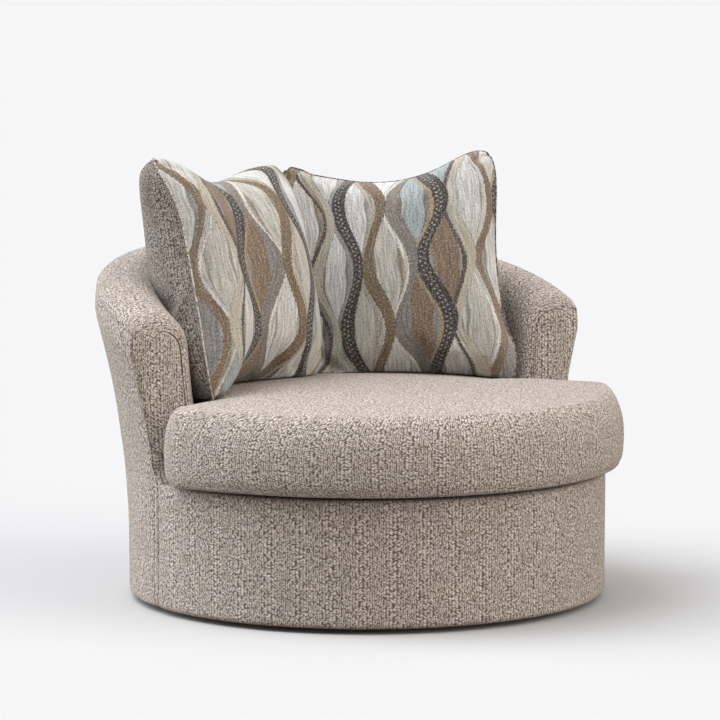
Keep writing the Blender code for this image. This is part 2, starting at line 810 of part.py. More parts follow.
def dust_cover(parent):
    corner = UPPER_PLATE_SIDE / 2 * math.sqrt(2)
    outer = BOTTOM_RING_BORE * (1 - FACET_DIP) - GAP
    top = MOUNT_RAIL_BOTTOM - GAP
    obj = ring("dust_cover", outer, corner + LAYER, top - COVER, top, 2 * BARREL_STEPS)
    place(obj, "black_cloth", parent)


# Swivel base


def floor_ring(parent):
    bpy.ops.mesh.primitive_torus_add(major_radius=BASE_RING_RADIUS, minor_radius=BASE_TUBE / 2,
                                     major_segments=36, minor_segments=8)
    obj = bpy.context.object
    obj.name = "floor_ring"
    obj.data.shade_smooth()
    place(obj, "black_steel", parent, (0, 0, GLIDE_HEIGHT + BASE_TUBE / 2))


def glides(parent):
    top = GLIDE_HEIGHT - GAP
    profile = [(0, top), (GLIDE_RADIUS * 0.7, top), (GLIDE_RADIUS, top * 0.55),
               (GLIDE_RADIUS, top * 0.25), (GLIDE_RADIUS * 0.85, 0), (0, 0)]
    for i in range(GLIDES):
        turn = 2 * math.pi * (i + 0.5) / GLIDES
        glide = turned(f"glide_{i + 1}", profile, 12, closed=False)
        x, y, _ = to_world(BASE_RING_RADIUS, turn, 0)
        place(glide, "black_plastic", parent, (x, y, 0))


def spider_outline():
    """A cross of tapered arms that end over the floor ring."""
    points = []
    for i in range(SPIDER_ARMS):
        middle = 2 * math.pi * i / SPIDER_ARMS + math.pi / SPIDER_ARMS
        for along, across in ((SPIDER_ROOT, -SPIDER_ROOT_WIDTH / 2),
                              (BASE_RING_RADIUS, -SPIDER_TIP_WIDTH / 2),
                              (BASE_RING_RADIUS + BASE_TUBE / 4, -SPIDER_TIP_WIDTH / 4),
                              (BASE_RING_RADIUS + BASE_TUBE / 4, SPIDER_TIP_WIDTH / 4),
                              (BASE_RING_RADIUS, SPIDER_TIP_WIDTH / 2),
                              (SPIDER_ROOT, SPIDER_ROOT_WIDTH / 2)):
            points.append((along * math.cos(middle) - across * math.sin(middle),
                           along * math.sin(middle) + across * math.cos(middle)))
        valley = middle + math.pi / SPIDER_ARMS
        points.append((SPIDER_VALLEY * math.cos(valley), SPIDER_VALLEY * math.sin(valley)))
    return points


def bearing(base, cage, chair):
    hole = RIVET_SHANK / 2 + BOLT_CLEARANCE
    spider = plate("base_spider", spider_outline(), [(0, 0, hole, 16)], SPIDER_THICK)
    place(spider, "black_steel", base, (0, 0, SPIDER_BOTTOM + SPIDER_THICK / 2))
    lower = ring("lower_bearing_plate", LOWER_PLATE_RADIUS, hole, LOWER_PLATE_BOTTOM,
                 LOWER_PLATE_BOTTOM + PLATE_THICK, 24)
    place(lower, "bright_steel", base)

    race = ring("ball_cage", BALL_PATH_RADIUS + CAGE_WIDTH / 2, BALL_PATH_RADIUS - CAGE_WIDTH / 2,
                -CAGE_THICK / 2, CAGE_THICK / 2, 30)
    place(race, "bright_steel", cage, (0, 0, BALL_BOTTOM + BALL / 2))
    for i in range(BALLS):
        bpy.ops.mesh.primitive_uv_sphere_add(radius=BALL / 2, segments=8, ring_count=6)
        ball = bpy.context.object
        ball.name = f"ball_{i + 1}"
        ball.parent = cage
        x, y, _ = to_world(BALL_PATH_RADIUS, 2 * math.pi * i / BALLS, 0)
        ball.location = (x, y, BALL_BOTTOM + BALL / 2)
        boolean(race, ball, "UNION")

    half = UPPER_PLATE_SIDE / 2 - UPPER_PLATE_CORNER
    outline = []
    for i, (x, y) in enumerate(((half, half), (-half, half), (-half, -half), (half, -half))):
        outline += arc_points(x, y, UPPER_PLATE_CORNER, QUARTER * i, QUARTER * (i + 1), 3)
    bolt_hole = BOLT_SHANK / 2 + BOLT_CLEARANCE
    holes = [(0, 0, hole, 16)]
    holes += [(x * BOLT_OFFSET, y * BOLT_OFFSET, bolt_hole, 12) for x in (-1, 1) for y in (-1, 1)]
    upper = plate("upper_bearing_plate", outline, holes, PLATE_THICK)
    place(upper, "bright_steel", chair, (0, 0, UPPER_PLATE_BOTTOM + PLATE_THICK / 2))

    top = UPPER_PLATE_BOTTOM + PLATE_THICK + GAP
    bottom = SPIDER_BOTTOM - GAP
    shank = RIVET_SHANK / 2
    head = RIVET_HEAD / 2
    crown = head * RIVET_CROWN
    profile = [(0, top + RIVET_HEAD_HEIGHT), (crown, top + RIVET_HEAD_HEIGHT),
               (head, top + RIVET_HEAD_HEIGHT * (1 - RIVET_CROWN)), (head, top), (shank, top),
               (shank, bottom), (head, bottom), (head, bottom - RIVET_HEAD_HEIGHT * RIVET_CROWN),
               (crown, bottom - RIVET_HEAD_HEIGHT), (0, bottom - RIVET_HEAD_HEIGHT)]
    place(turned("centre_rivet", profile, 16, closed=False), "bright_steel", base)


def mounting_bolts(parent):
    count = 0
    for x in (-1, 1):
        for y in (-1, 1):
            count += 1
            name = f"mounting_bolt_{count}"
            head = cylinder(name, BOLT_HEAD / math.sqrt(3), BOLT_HEAD_HEIGHT, 6)
            middle = UPPER_PLATE_BOTTOM - GAP - BOLT_HEAD_HEIGHT / 2
            place(head, "bright_steel", parent, (x * BOLT_OFFSET, y * BOLT_OFFSET, middle))
            bottom = middle
            top = UPPER_PLATE_BOTTOM + BOLT_LENGTH
            shank = cylinder(f"{name}_shank", BOLT_SHANK / 2, top - bottom, 12)
            shank.parent = parent
            shank.location = (x * BOLT_OFFSET, y * BOLT_OFFSET, (top + bottom) / 2)
            boolean(head, shank, "UNION")


# Loose cushion and pillows


def cushion_outline(inset):
    """Plan of the cushion: a half-disc front with ears, and a smaller round back."""
    front = CUSHION_RADIUS - inset
    back = CUSHION_BACK_RADIUS - inset
    edge = EAR_BACK - inset
    corner = EAR_ROUND
    corner_y = edge - corner
    corner_x = math.sqrt((front - corner) ** 2 - corner_y**2)
    fillet_y = edge + EAR_FILLET
    fillet_x = math.sqrt((back + EAR_FILLET) ** 2 - fillet_y**2)
    start = math.atan2(corner_y, corner_x)
    notch = math.atan2(fillet_y, fillet_x)
    half = arc_points(0, 0, front, -QUARTER, start, 10)
    half += arc_points(corner_x, corner_y, corner, start, QUARTER, 4)[1:]
    half += arc_points(fillet_x, fillet_y, EAR_FILLET, -QUARTER, notch - math.pi, 3)
    half += arc_points(0, 0, back, notch, QUARTER, 9)[1:]
    return half + [(-x, y) for x, y in half[-2:0:-1]]


def ear_drop(x, y):
    """How much lower the cushion's top is toward the corners of its ears."""
    outward = smooth_step((abs(x) - CUSHION_BACK_RADIUS + EAR_ROUND / 2) / (2 * EAR_ROUND))
    backward = smooth_step(1 - (EAR_BACK - y) / (2.5 * EAR_ROUND))
    return EAR_DROP * outward * backward


def seat_cushion(parent):
    sides = [(0.0, CUSHION_BOTTOM_TUCK), (0.05, 0.014), (0.16, 0.004), (0.42, 0.0),
             (0.66, 0.003), (0.84, 0.014), (0.95, 0.028)]
    rows = []
    for share, inset in sides:
        outline = cushion_outline(inset)
        level = CUSHION_BOTTOM + CUSHION_SIDE_HEIGHT * share
        rows.append([(x, y, level - share * ear_drop(x, y)) for x, y in outline])
    rim = cushion_outline(CUSHION_TOP_TUCK)
    base = CUSHION_BOTTOM + CUSHION_SIDE_HEIGHT
    middle_y = (CUSHION_BACK_RADIUS - CUSHION_RADIUS) / 2
    for scale in (1.0, 0.86, 0.62, 0.32):
        level = base + CUSHION_CROWN * (1 - scale**2.4)
        row = []
        for x, y in rim:
            across = x * scale
            along = middle_y + (y - middle_y) * scale
            row.append((across, along, level - ear_drop(across, along)))
        rows.append(row)
    obj = solid_rows("seat_cushion", rows)
    return place(obj, "chenille", parent)


def tree_of(obj):
    bpy.context.view_layer.update()
    graph = bpy.context.evaluated_depsgraph_get()
    return BVHTree.FromObject(obj, graph)


def sheet_tree(obj):
    """The faces of an unthickened sheet, for pieces that lean on its front."""
    points = [vertex.co for vertex in obj.data.vertices]
    return BVHTree.FromPolygons(points, [polygon.vertices for polygon in obj.data.polygons])


def press_out(points, faces, obstacles, side):
    """Moves a pillow's points until its facets are clear of what it leans on.

    The two pillows press flat against each other at the chair's middle; side is -1 or 1.
    """
    lines = set()
    for a, b, c, d in faces:
        for pair in ((a, b), (b, c), (c, d), (d, a), (a, c), (b, d)):
            lines.add(tuple(sorted(pair)))
    for _ in range(PRESS_ROUNDS):
        for i, j in sorted(lines):
            for share in (0, 0.25, 0.5, 0.75, 1):
                sample = points[i].lerp(points[j], share)
                for tree in obstacles:
                    spot, normal, _, _ = tree.find_nearest(sample)
                    away = sample - spot
                    height = away.dot(normal)
                    beside = away.length > PRESS_GAP and abs(height) < 0.7 * away.length
                    if height > PRESS_GAP or beside:
                        continue
                    push = normal * (PRESS_GAP - height) / ((1 - share)**2 + share**2)
                    points[i] += push * (1 - share)
                    points[j] += push * share
        for point in points:
            point.x = side * max(GAP, side * point.x)


def pillow_point(size, s, t, face):
    """A point on a pillow lying flat: face is 1 behind, -1 in front and 0 on the seam."""
    nearer = min(abs(s), abs(t)) / max(abs(s), abs(t), GAP)
    rounded = (1 + nearer**PILLOW_EARS) ** (-1 / PILLOW_EARS)
    x = PILLOW_WIDTH / 2 * s * (1 - size["side_pull"] * (1 - t * t)) * rounded
    z = PILLOW_HEIGHT / 2 * t * (1 - size["top_pull"] * (1 - s * s)) * rounded
    full = ((1 - s * s) * (1 - t * t)) ** PILLOW_FULLNESS
    depth = size["back"] if face > 0 else size["front"]
    slack = 1.0
    if size["slack_side"] == "back" and face > 0:
        slack = 1 - 0.8 * smooth_step((s - size["slack_from"]) / 0.6)
    if size["slack_side"] == "front" and face < 0:
        slack = smooth_step((s - size["slack_from"] + 0.6) / 0.6)
    if face < 0:
        depth += size["swell"] * smooth_step(s + 0.5)
    return x, face * depth * full * slack, z


def pillow_to_world(size, x, depth, z):
    bend = size["bend"]
    turn = x / bend
    bent = Vector(((bend + depth) * math.sin(turn), (bend + depth) * math.cos(turn) - bend,
                   z + PILLOW_HEIGHT / 2))
    lift = Vector((0, 0, PILLOW_HEIGHT / 2))
    roll = Matrix.Rotation(size["roll"], 3, "Y")
    lean = Matrix.Rotation(-size["lean"], 3, "X")
    heading = Matrix.Rotation(size["heading"], 3, "Z")
    point = heading @ (lean @ (roll @ (bent - lift) + lift))
    foot = to_world(SEAT_INNER_RADIUS - size["inward"], size["turn"],
                    CUSHION_BOTTOM + CUSHION_SIDE_HEIGHT)
    return point + Vector(foot)


def pillow(size, cushion, obstacles, parent):
    """A knife-edge pillow, pressed flat where it meets the cushion and the barrel."""
    count = PILLOW_GRID
    steps = [math.sin(QUARTER * (2 * i / count - 1)) for i in range(count + 1)]
    points = []
    index = {}
    for face in (-1, 1):
        for i, s in enumerate(steps):
            for j, t in enumerate(steps):
                rim = i in (0, count) or j in (0, count)
                key = (0 if rim else face, i, j)
                if key in index:
                    continue
                index[key] = len(points)
                x, depth, z = pillow_point(size, s, t, key[0])
                points.append(pillow_to_world(size, x, depth, z))
    faces = []
    for face in (-1, 1):
        for i in range(count):
            for j in range(count):
                quad = []
                for a, b in ((i, j), (i + 1, j), (i + 1, j + 1), (i, j + 1)):
                    rim = a in (0, count) or b in (0, count)
                    quad.append(index[(0 if rim else face, a, b)])
                faces.append(tuple(quad if face < 0 else quad[::-1]))
    seat_on(points, cushion)
    press_out(points, faces, obstacles, math.copysign(1, size["turn"]))
    settle(points, cushion)
    obj = face_out(mesh_object(size["name"], points, faces, smooth=True))
    place(obj, "pillow_cloth", parent)


def seat_on(points, cushion):
    """Lowers the points on to the cushion and flattens what would go into it."""
    down = Vector((0, 0, -1))
    tops = []
    for point in points:
        hit = cushion.ray_cast(Vector((point.x, point.y, 2.0)), down)
        tops.append(hit[0].z if hit[0] else None)
    rise = min(p.z - top for p, top in zip(points, tops) if top is not None)
    for point, top in zip(points, tops):
        point.z -= rise + PILLOW_SINK
        if top is not None:
            point.z = max(point.z, top + GAP)


def settle(points, cushion):
    """Lowers a pressed pillow until it rests on the cushion."""
    below = [cushion.ray_cast(point, Vector((0, 0, -1)))[3] for point in points]
    drop = min(gap for gap in below if gap is not None) - REST_GAP
    for point in points:
        point.z -= drop


def build():
    base = empty("base")
    cage = empty("ball_cage_axis", base)
    chair = empty("swivel_axis", base)
    cushion_body = empty("seat_cushion_lift", chair)
    left_body = empty("pillow_left_lift", cushion_body)
    right_body = empty("pillow_right_lift", cushion_body)

    floor_ring(base)
    glides(base)
    bearing(base, cage, chair)
    mounting_bolts(chair)

    rings(chair)
    drum_posts(chair)
    mount_rails(chair)
    top_rail(chair)
    back_slats(chair)
    for name, side in (("left", -1), ("right", 1)):
        arm_board(f"arm_board_{name}", side, chair)
        arm_pad(f"arm_pad_{name}", side, chair)
        arm_front_cover(f"arm_front_cover_{name}", side, chair)
    front_board(chair)
    outside_back_board(chair)
    seat_springs(chair)
    deck(chair)
    dust_cover(chair)

    back_foam(chair)
    barrel = sheet_tree(inside_back_cover(chair))
    outside_back_cover(chair)
    front_border_cover(chair)

    cushion = tree_of(seat_cushion(cushion_body))
    pillow(LEFT_PILLOW, cushion, [barrel, cushion], left_body)
    pillow(RIGHT_PILLOW, cushion, [barrel, cushion], right_body)


clear_scene()
PARTS = new_collection("swivel_accent_chair")
CUTTERS = new_collection("cutters")
CUTTERS.hide_render = True
build()
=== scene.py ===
import json
import math
from functools import partial

import bpy
from mathutils import Matrix, Vector, noise
from mathutils.bvhtree import BVHTree

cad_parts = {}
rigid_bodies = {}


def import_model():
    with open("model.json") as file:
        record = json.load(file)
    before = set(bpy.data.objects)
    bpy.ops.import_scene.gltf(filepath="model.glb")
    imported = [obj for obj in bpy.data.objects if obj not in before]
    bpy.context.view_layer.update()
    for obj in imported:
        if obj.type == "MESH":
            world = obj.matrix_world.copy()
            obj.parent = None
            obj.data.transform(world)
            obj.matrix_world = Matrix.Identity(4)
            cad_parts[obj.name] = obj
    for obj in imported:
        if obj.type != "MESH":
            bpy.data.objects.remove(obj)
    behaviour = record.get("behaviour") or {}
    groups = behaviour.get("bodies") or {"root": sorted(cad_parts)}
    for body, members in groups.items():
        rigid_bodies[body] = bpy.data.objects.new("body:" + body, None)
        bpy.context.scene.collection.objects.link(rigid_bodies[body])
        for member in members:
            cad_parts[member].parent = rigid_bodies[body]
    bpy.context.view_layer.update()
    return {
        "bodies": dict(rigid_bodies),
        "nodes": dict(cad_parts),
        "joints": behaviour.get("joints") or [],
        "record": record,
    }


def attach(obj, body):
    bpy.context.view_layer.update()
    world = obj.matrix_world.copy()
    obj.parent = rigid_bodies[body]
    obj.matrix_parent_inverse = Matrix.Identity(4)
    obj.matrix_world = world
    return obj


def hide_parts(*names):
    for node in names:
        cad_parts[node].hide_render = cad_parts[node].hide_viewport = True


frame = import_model()
nodes = frame["nodes"]
quarter = math.pi / 2
print("frame loaded:", len(nodes), "nodes")


# Small helpers

def smoothStep(value):
    value = min(1.0, max(0.0, value))
    return value * value * (3 - 2 * value)


def between(start, end, share):
    return start + (end - start) * share


def hexColour(code):
    # sRGB hex to the linear colour that Blender's sockets take
    linear = []
    for i in (0, 2, 4):
        part = int(code[i:i + 2], 16) / 255
        linear.append(part / 12.92 if part <= 0.04045 else ((part + 0.055) / 1.055) ** 2.4)
    return (*linear, 1.0)


def feed(node, inputs):
    # fills inputs by number, by name or in order; a node stands for its first live output
    for key, value in inputs.items() if isinstance(inputs, dict) else enumerate(inputs):
        if isinstance(value, bpy.types.Node):
            value = next(socket for socket in value.outputs if socket.enabled)
        if isinstance(value, bpy.types.NodeSocket):
            node.id_data.links.new(value, node.inputs[key])
        else:
            node.inputs[key].default_value = hexColour(value) if isinstance(value, str) else value


def addNode(tree, kind, inputs=(), **settings):
    node = tree.nodes.new("ShaderNode" + kind)
    for name, value in settings.items():
        setattr(node, name, value)
    feed(node, inputs)
    return node


def setStops(ramp, stops):
    # a colour ramp's stops from pairs of place and hex colour
    elements = ramp.color_ramp.elements
    elements.remove(elements[1])
    elements[0].position, elements[0].color = stops[0][0], hexColour(stops[0][1])
    for position, colour in stops[1:]:
        elements.new(position).color = hexColour(colour)


def newMaterial(name):
    material = bpy.data.materials.new(name)
    material.use_nodes = True
    tree = material.node_tree
    return material, tree.nodes["Principled BSDF"], partial(addNode, tree)


def wear(obj, *materials):
    obj.data.materials.clear()
    for material in materials:
        obj.data.materials.append(material)


def linkObject(name, data):
    obj = bpy.data.objects.new(name, data)
    bpy.context.scene.collection.objects.link(obj)
    return obj


def deselectAll():
    if bpy.context.object and bpy.context.object.mode != "OBJECT":
        bpy.ops.object.mode_set(mode="OBJECT")
    bpy.ops.object.select_all(action="DESELECT")


def makeActive(obj):
    deselectAll()
    obj.select_set(True)
    bpy.context.view_layer.objects.active = obj


def finishModifier(obj, name, kind, **settings):
    # adds a modifier and applies it
    modifier = obj.modifiers.new(name, kind)
    for key, value in settings.items():
        setattr(modifier, key, value)
    makeActive(obj)
    bpy.ops.object.modifier_apply(modifier=modifier.name)


def smoothShade(obj, degrees=50):
    makeActive(obj)
    bpy.ops.object.shade_smooth_by_angle(angle=math.radians(degrees))


# Shape of the barrel: turn is 0 straight behind and a quarter at the arms

barrel = {
    "drumRadius": 0.565,
    "innerRadius": 0.425,      # inside of the barrel at the deck
    "foot": 0.2735,            # where the inside cover starts, under the deck
    "deck": 0.300,
    "hemHeight": 0.012,
    "hemRound": 0.012,
    "flare": 0.0880,
    "flareCurve": 1.8,         # 1 is straight; higher leans out later
    "flareStart": 0.112,
    "armFlareStart": 0.280,
    "armFlareTurn": math.radians(50),
    "flareTop": 0.720,
    "backFlareShare": 0.62,
    "backFlareFade": 4,        # higher keeps the smaller flare closer to the middle of the back
    "rollRadius": 0.078,
    "armRoll": 0.596,          # height of the roll's centre at the arms
    "backRoll": 0.740,
    "rimSweep": 2.5,
    "rollSquare": 3.8,         # 2 is round; the roll is squarer outside
    "rollSeam": math.radians(24),
    "rollSeamGap": 0.006,      # half the gap between the covers at the roll's seam, in radians
    "setback": 0.020,          # how far the arm front leans back
    "setbackTop": 0.490,
    "sideSeam": -0.016,        # where the drum's side seams run, seen from the side
    "seamStep": 0.050,         # height over which they pass into the arm front's edge
    "stepBelowDeck": 0.4,      # share of that height that lies below the deck
    "cloth": 0.0026,
    "frontTurn": math.radians(55),   # from here on, covers end on the arm's flat front
    "frontRound": 0.026,       # how deep the cover rounds over the arm's front edge
    "edgeAtSeam": 0.004,       # how far it rounds in there, at the roll's seam
    "edgeOnTop": 0.026,        # and over the roll and down the inner side
    "edgeGrowth": math.radians(50),
    "seamTuck": 0.0024,        # how deep a seam pulls the cloth in
    "seamReach": 0.0050,
    "slackness": 0.0011,       # soft unevenness of the padding
    "slackAcross": 4.5,
    "slackUp": 7.0,
    "slackPattern": 3.1,       # any other number lays the unevenness elsewhere
}
armTurn = quarter - barrel["setback"] / barrel["drumRadius"]
hemTop = barrel["hemHeight"] + barrel["hemRound"]


def outerRadius(height, turn):
    towardArm = smoothStep((abs(turn) - barrel["armFlareTurn"]) / (quarter - barrel["armFlareTurn"]))
    start = between(barrel["flareStart"], barrel["armFlareStart"], towardArm)
    rise = max(0.0, height - start) / (barrel["flareTop"] - start)
    share = 1 - (1 - barrel["backFlareShare"]) * math.cos(turn) ** barrel["backFlareFade"]
    return barrel["drumRadius"] + barrel["flare"] * share * rise ** barrel["flareCurve"]


def rollCentre(turn):
    along = min(1.0, abs(turn) / armTurn)
    height = between(barrel["backRoll"], barrel["armRoll"], along ** barrel["rimSweep"])
    return outerRadius(height, turn) - barrel["rollRadius"], height


def innerTangent(turn, inset=0.0):
    radius, height = rollCentre(turn)
    across = barrel["innerRadius"] + inset - radius
    down = barrel["foot"] - height
    reach = (barrel["rollRadius"] - inset) / math.hypot(across, down)
    return math.atan2(down, across) % (2 * math.pi) - math.acos(reach)


def onRoll(turn, angle, inset=0.0):
    radius, height = rollCentre(turn)
    reach = barrel["rollRadius"] - inset
    across, up = math.cos(angle), math.sin(angle)
    if across > 0 and up > 0:
        across **= 2 / barrel["rollSquare"]
        up **= 2 / barrel["rollSquare"]
    return radius + reach * across, height + reach * up


def innerWall(turn, share, inset=0.0):
    # share is 0 at the foot and 1 where the wall meets the roll
    radius, height = onRoll(turn, innerTangent(turn, inset), inset)
    return between(barrel["innerRadius"] + inset, radius, share), between(barrel["foot"], height, share)


def frontFace(height):
    share = (height - barrel["deck"]) / (barrel["setbackTop"] - barrel["deck"])
    return barrel["setback"] * min(1.0, max(0.0, share))


def sideSeam(height):
    # the side seam of the drum runs a little in front of the arm's front face
    step = barrel["seamStep"]
    share = smoothStep((height - barrel["deck"] + barrel["stepBelowDeck"] * step) / step)
    return between(barrel["sideSeam"], frontFace(height), share)


def seamPull(distance):
    return barrel["seamTuck"] * math.exp(-(distance / barrel["seamReach"]) ** 2)


def frontInset(angle):
    # how far a cover rounds in at the arm's front edge, growing from the roll's seam to its top
    grown = smoothStep((angle - barrel["rollSeam"]) / barrel["edgeGrowth"])
    return between(barrel["edgeAtSeam"], barrel["edgeOnTop"], grown)


def softness(height, turn):
    spot = (turn * barrel["slackAcross"], height * barrel["slackUp"], barrel["slackPattern"])
    return barrel["slackness"] * noise.noise(Vector(spot))


def crowd(share, strength=0.72):
    # sets a grid's lines closer together near both ends
    return share - strength * math.sin(2 * math.pi * share) / (2 * math.pi)


def carried(along, profile, seam, edgeInset):
    # carries a profile to its place round the barrel; along is -1 and 1 at the two arm fronts
    turn = along * quarter
    for _ in range(5):
        radius, height = profile(turn, 0.0)
        turn = along * math.acos(max(-1.0, min(1.0, seam(height) / radius)))
    radius, height = profile(turn, 0.0)
    y = radius * math.cos(turn)
    near = 1 - min(1.0, max(0.0, (y - seam(height)) / barrel["frontRound"]))
    inset = edgeInset(turn) * (1 - math.sqrt(max(0.0, 1 - near**2)))
    radius, height = profile(turn, inset - softness(height, turn))
    if abs(turn) > barrel["frontTurn"]:
        turn = math.copysign(math.acos(max(-1.0, min(1.0, y / radius))), turn)
    return Vector((radius * math.sin(turn), radius * math.cos(turn), height))


# Laying the weave out in metres, and making a cover from a grid

weaving = {
    "samplesAcross": 240,
    "samplesUp": 40,
}


def runningLengths(points):
    total = [0.0]
    for last, here in zip(points, points[1:]):
        total.append(total[-1] + math.dist(last, here))
    return total


def lengthAt(total, share):
    place = share * (len(total) - 1)
    i = min(len(total) - 2, int(place))
    return between(total[i], total[i + 1], place - i)


def weaveLayout(pointAt, across, shift=0.0):
    # columns of the weave follow the line at the share `across`, and rows each column's own length
    samples, rises = weaving["samplesAcross"], weaving["samplesUp"]
    wide = runningLengths([pointAt(i / samples, across) for i in range(samples + 1)])
    tall = {}

    def weaveAt(a, b):
        if a not in tall:
            tall[a] = runningLengths([pointAt(a, i / rises) for i in range(rises + 1)])
        return lengthAt(wide, a) - wide[-1] / 2 + shift, lengthAt(tall[a], b)

    return weaveAt


def makeCover(name, size, pointAt, weaveAt, spot, inward):
    # carries a grid primitive's points to the piece's own shape
    deselectAll()
    bpy.ops.mesh.primitive_grid_add(x_subdivisions=size["columns"], y_subdivisions=size["rows"], size=1.0)
    obj = bpy.context.object
    obj.name = name
    mesh = obj.data
    places = [(v.co.x + 0.5, v.co.y + 0.5) for v in mesh.vertices]
    for vertex, place in zip(mesh.vertices, places):
        vertex.co = pointAt(*place)
    layer = mesh.uv_layers[0]
    layer.name = "weave"
    for loop in mesh.loops:
        layer.data[loop.index].uv = weaveAt(*places[loop.vertex_index])
    face = mesh.polygons[len(mesh.polygons) // 2]
    looksAway = face.normal.dot(face.center - Vector(spot)) > 0
    if looksAway == inward:
        mesh.flip_normals()
    # the cloth's thickness goes inwards, away from the faces' outside
    finishModifier(obj, "thickness", "SOLIDIFY", thickness=barrel["cloth"], offset=-1, use_even_offset=True)
    smoothShade(obj)
    return obj


# Chenille and pillow cloth. Sizes are in metres and scales are features in a metre.
# A range gives two values of what drives it, then what it turns them to.

chenille = {
    "column": 0.0124,          # mean width of a knitted column
    "columnSwing": 0.0038,     # columns grow and shrink in width
    "columnRepeat": 0.071,
    "tuftLength": 0.0046,      # one tuft of pile up a column
    "tuftScatter": 0.62,
    "tuftRange": (0.16, 0.62, 1.0, 0.0),      # a tuft falls off from its middle
    "valleyRange": (0.0, 0.25, 0.70, 1.0),    # and is lower beside a column's edge
    "fullRange": (0.0, 1.0, 0.62, 1.12),      # tufts differ in height
    "slant": 0.0043,           # how far a row of tufts rises to the middle of its column
    "wander": 0.010,           # how far the rows stray up and down
    "wanderScale": 48.0,
    "fuzz": 0.60,
    "fuzzScale": 420.0,
    "gapDepth": 0.30,
    # colours from gap to tip: painted shade in the gaps, the yarn's own colour in the middle, a painted
    # highlight on the tips
    "pile": [(0.02, "6B625A"), (0.24, "A3998F"), (0.52, "CFC5BD"), (0.88, "F0E9E4")],
    "dyeScale": 30.0,
    "dyes": [("B3AF9F", (0.48, 0.66, 0.0, 0.34)), ("C4B9BC", (0.50, 0.34, 0.0, 0.34))],
    "clumpScale": 120.0,
    "clumpRange": (0.36, 0.64, 0.80, 1.14),
    "bump": 0.0019,
    "backPaintedShade": 0.61,          # painted shade: the pillows' backs are drawn this much darker, as they lie in shade
}


def chenilleMaterial(name, shadeTone=1.0):
    # woven chenille, cut pile: soft matt tufts in upright braided columns, with painted shade in the gaps
    # between them and a painted highlight on their tips
    material, shader, add = newMaterial(name)
    uv = add("UVMap", uv_map="weave")
    split = add("SeparateXYZ", [uv])
    across, along = split.outputs[0], split.outputs[1]
    column = chenille["column"]
    repeat = add("Math", (across, 2 * math.pi / chenille["columnRepeat"]), operation="MULTIPLY")
    swing = add("Math", [repeat], operation="SINE")
    wide = add("Math", (swing, chenille["columnSwing"], across), operation="MULTIPLY_ADD")
    wobble = add("TexNoise", {"Vector": uv, "Scale": chenille["wanderScale"], "Detail": 1.0})
    ridge = add("Math", (wide, column / 2), operation="PINGPONG")
    inColumn = add("Math", (ridge, 2 / column), operation="MULTIPLY")
    lifted = add("Math", (inColumn, chenille["slant"], along), operation="MULTIPLY_ADD")
    drift = add("Math", (wobble, chenille["wander"], lifted), operation="MULTIPLY_ADD")
    x = add("Math", (wide, 2 / column), operation="MULTIPLY")
    y = add("Math", (drift, 1 / chenille["tuftLength"]), operation="MULTIPLY")
    place = add("CombineXYZ", (x, y))
    tufts = add("TexVoronoi", {"Vector": place, "Scale": 1.0, "Randomness": chenille["tuftScatter"]},
                voronoi_dimensions="2D")
    pile = add("MapRange", (tufts.outputs["Distance"], *chenille["tuftRange"]))
    valley = add("MapRange", (inColumn, *chenille["valleyRange"]))
    raised = add("Math", (pile, valley), operation="MULTIPLY")
    each = add("SeparateColor", [tufts.outputs["Color"]])
    fuller = add("MapRange", (each, *chenille["fullRange"]))
    tuft = add("Math", (raised, fuller), operation="MULTIPLY")
    fuzz = add("TexNoise", {"Vector": uv, "Scale": chenille["fuzzScale"], "Detail": 2.0})
    hairy = add("Math", (fuzz, chenille["fuzz"], tuft), operation="MULTIPLY_ADD")
    height = add("Math", (hairy, chenille["gapDepth"]), operation="SUBTRACT")
    # colour follows the tufts' height: painted shade low in gaps and valleys, a painted highlight on the
    # tips
    cloth = add("ValToRGB", [height])
    setStops(cloth, chenille["pile"])
    # dye that took a little unevenly: faint green and lilac casts a few centimetres wide
    broad = add("TexNoise", {"Vector": uv, "Scale": chenille["dyeScale"], "Detail": 3.0})
    for colour, dyeRange in chenille["dyes"]:
        share = add("MapRange", (broad, *dyeRange))
        cloth = add("Mix", {0: share, 6: cloth, 7: colour}, data_type="RGBA", blend_type="MULTIPLY")
    # clumps of pile lean together and catch more or less light
    clump = add("TexNoise", {"Vector": uv, "Scale": chenille["clumpScale"], "Detail": 2.0})
    low, high, dim, lit = chenille["clumpRange"]
    # below 1 the whole cloth is darkened as painted shade, for the pillows' backs
    clumpTone = add("MapRange", (clump, low, high, dim * shadeTone, lit * shadeTone))
    toned = add("VectorMath", {0: cloth, "Scale": clumpTone}, operation="SCALE")
    bump = add("Bump", {"Strength": 0.85, "Distance": chenille["bump"], "Height": height})
    feed(shader, {"Base Color": toned, "Normal": bump, "Roughness": 0.92, "Specular IOR Level": 0.15,
                  "Sheen Weight": 0.22, "Sheen Roughness": 0.45, "Sheen Tint": "EEE4E2"})
    return material


greigeChenille = chenilleMaterial("woven_chenille")
# the same chenille with painted shade, darker all over, for the pillows' backs
paintedShadeChenille = chenilleMaterial("woven_chenille_painted_shade", chenille["backPaintedShade"])


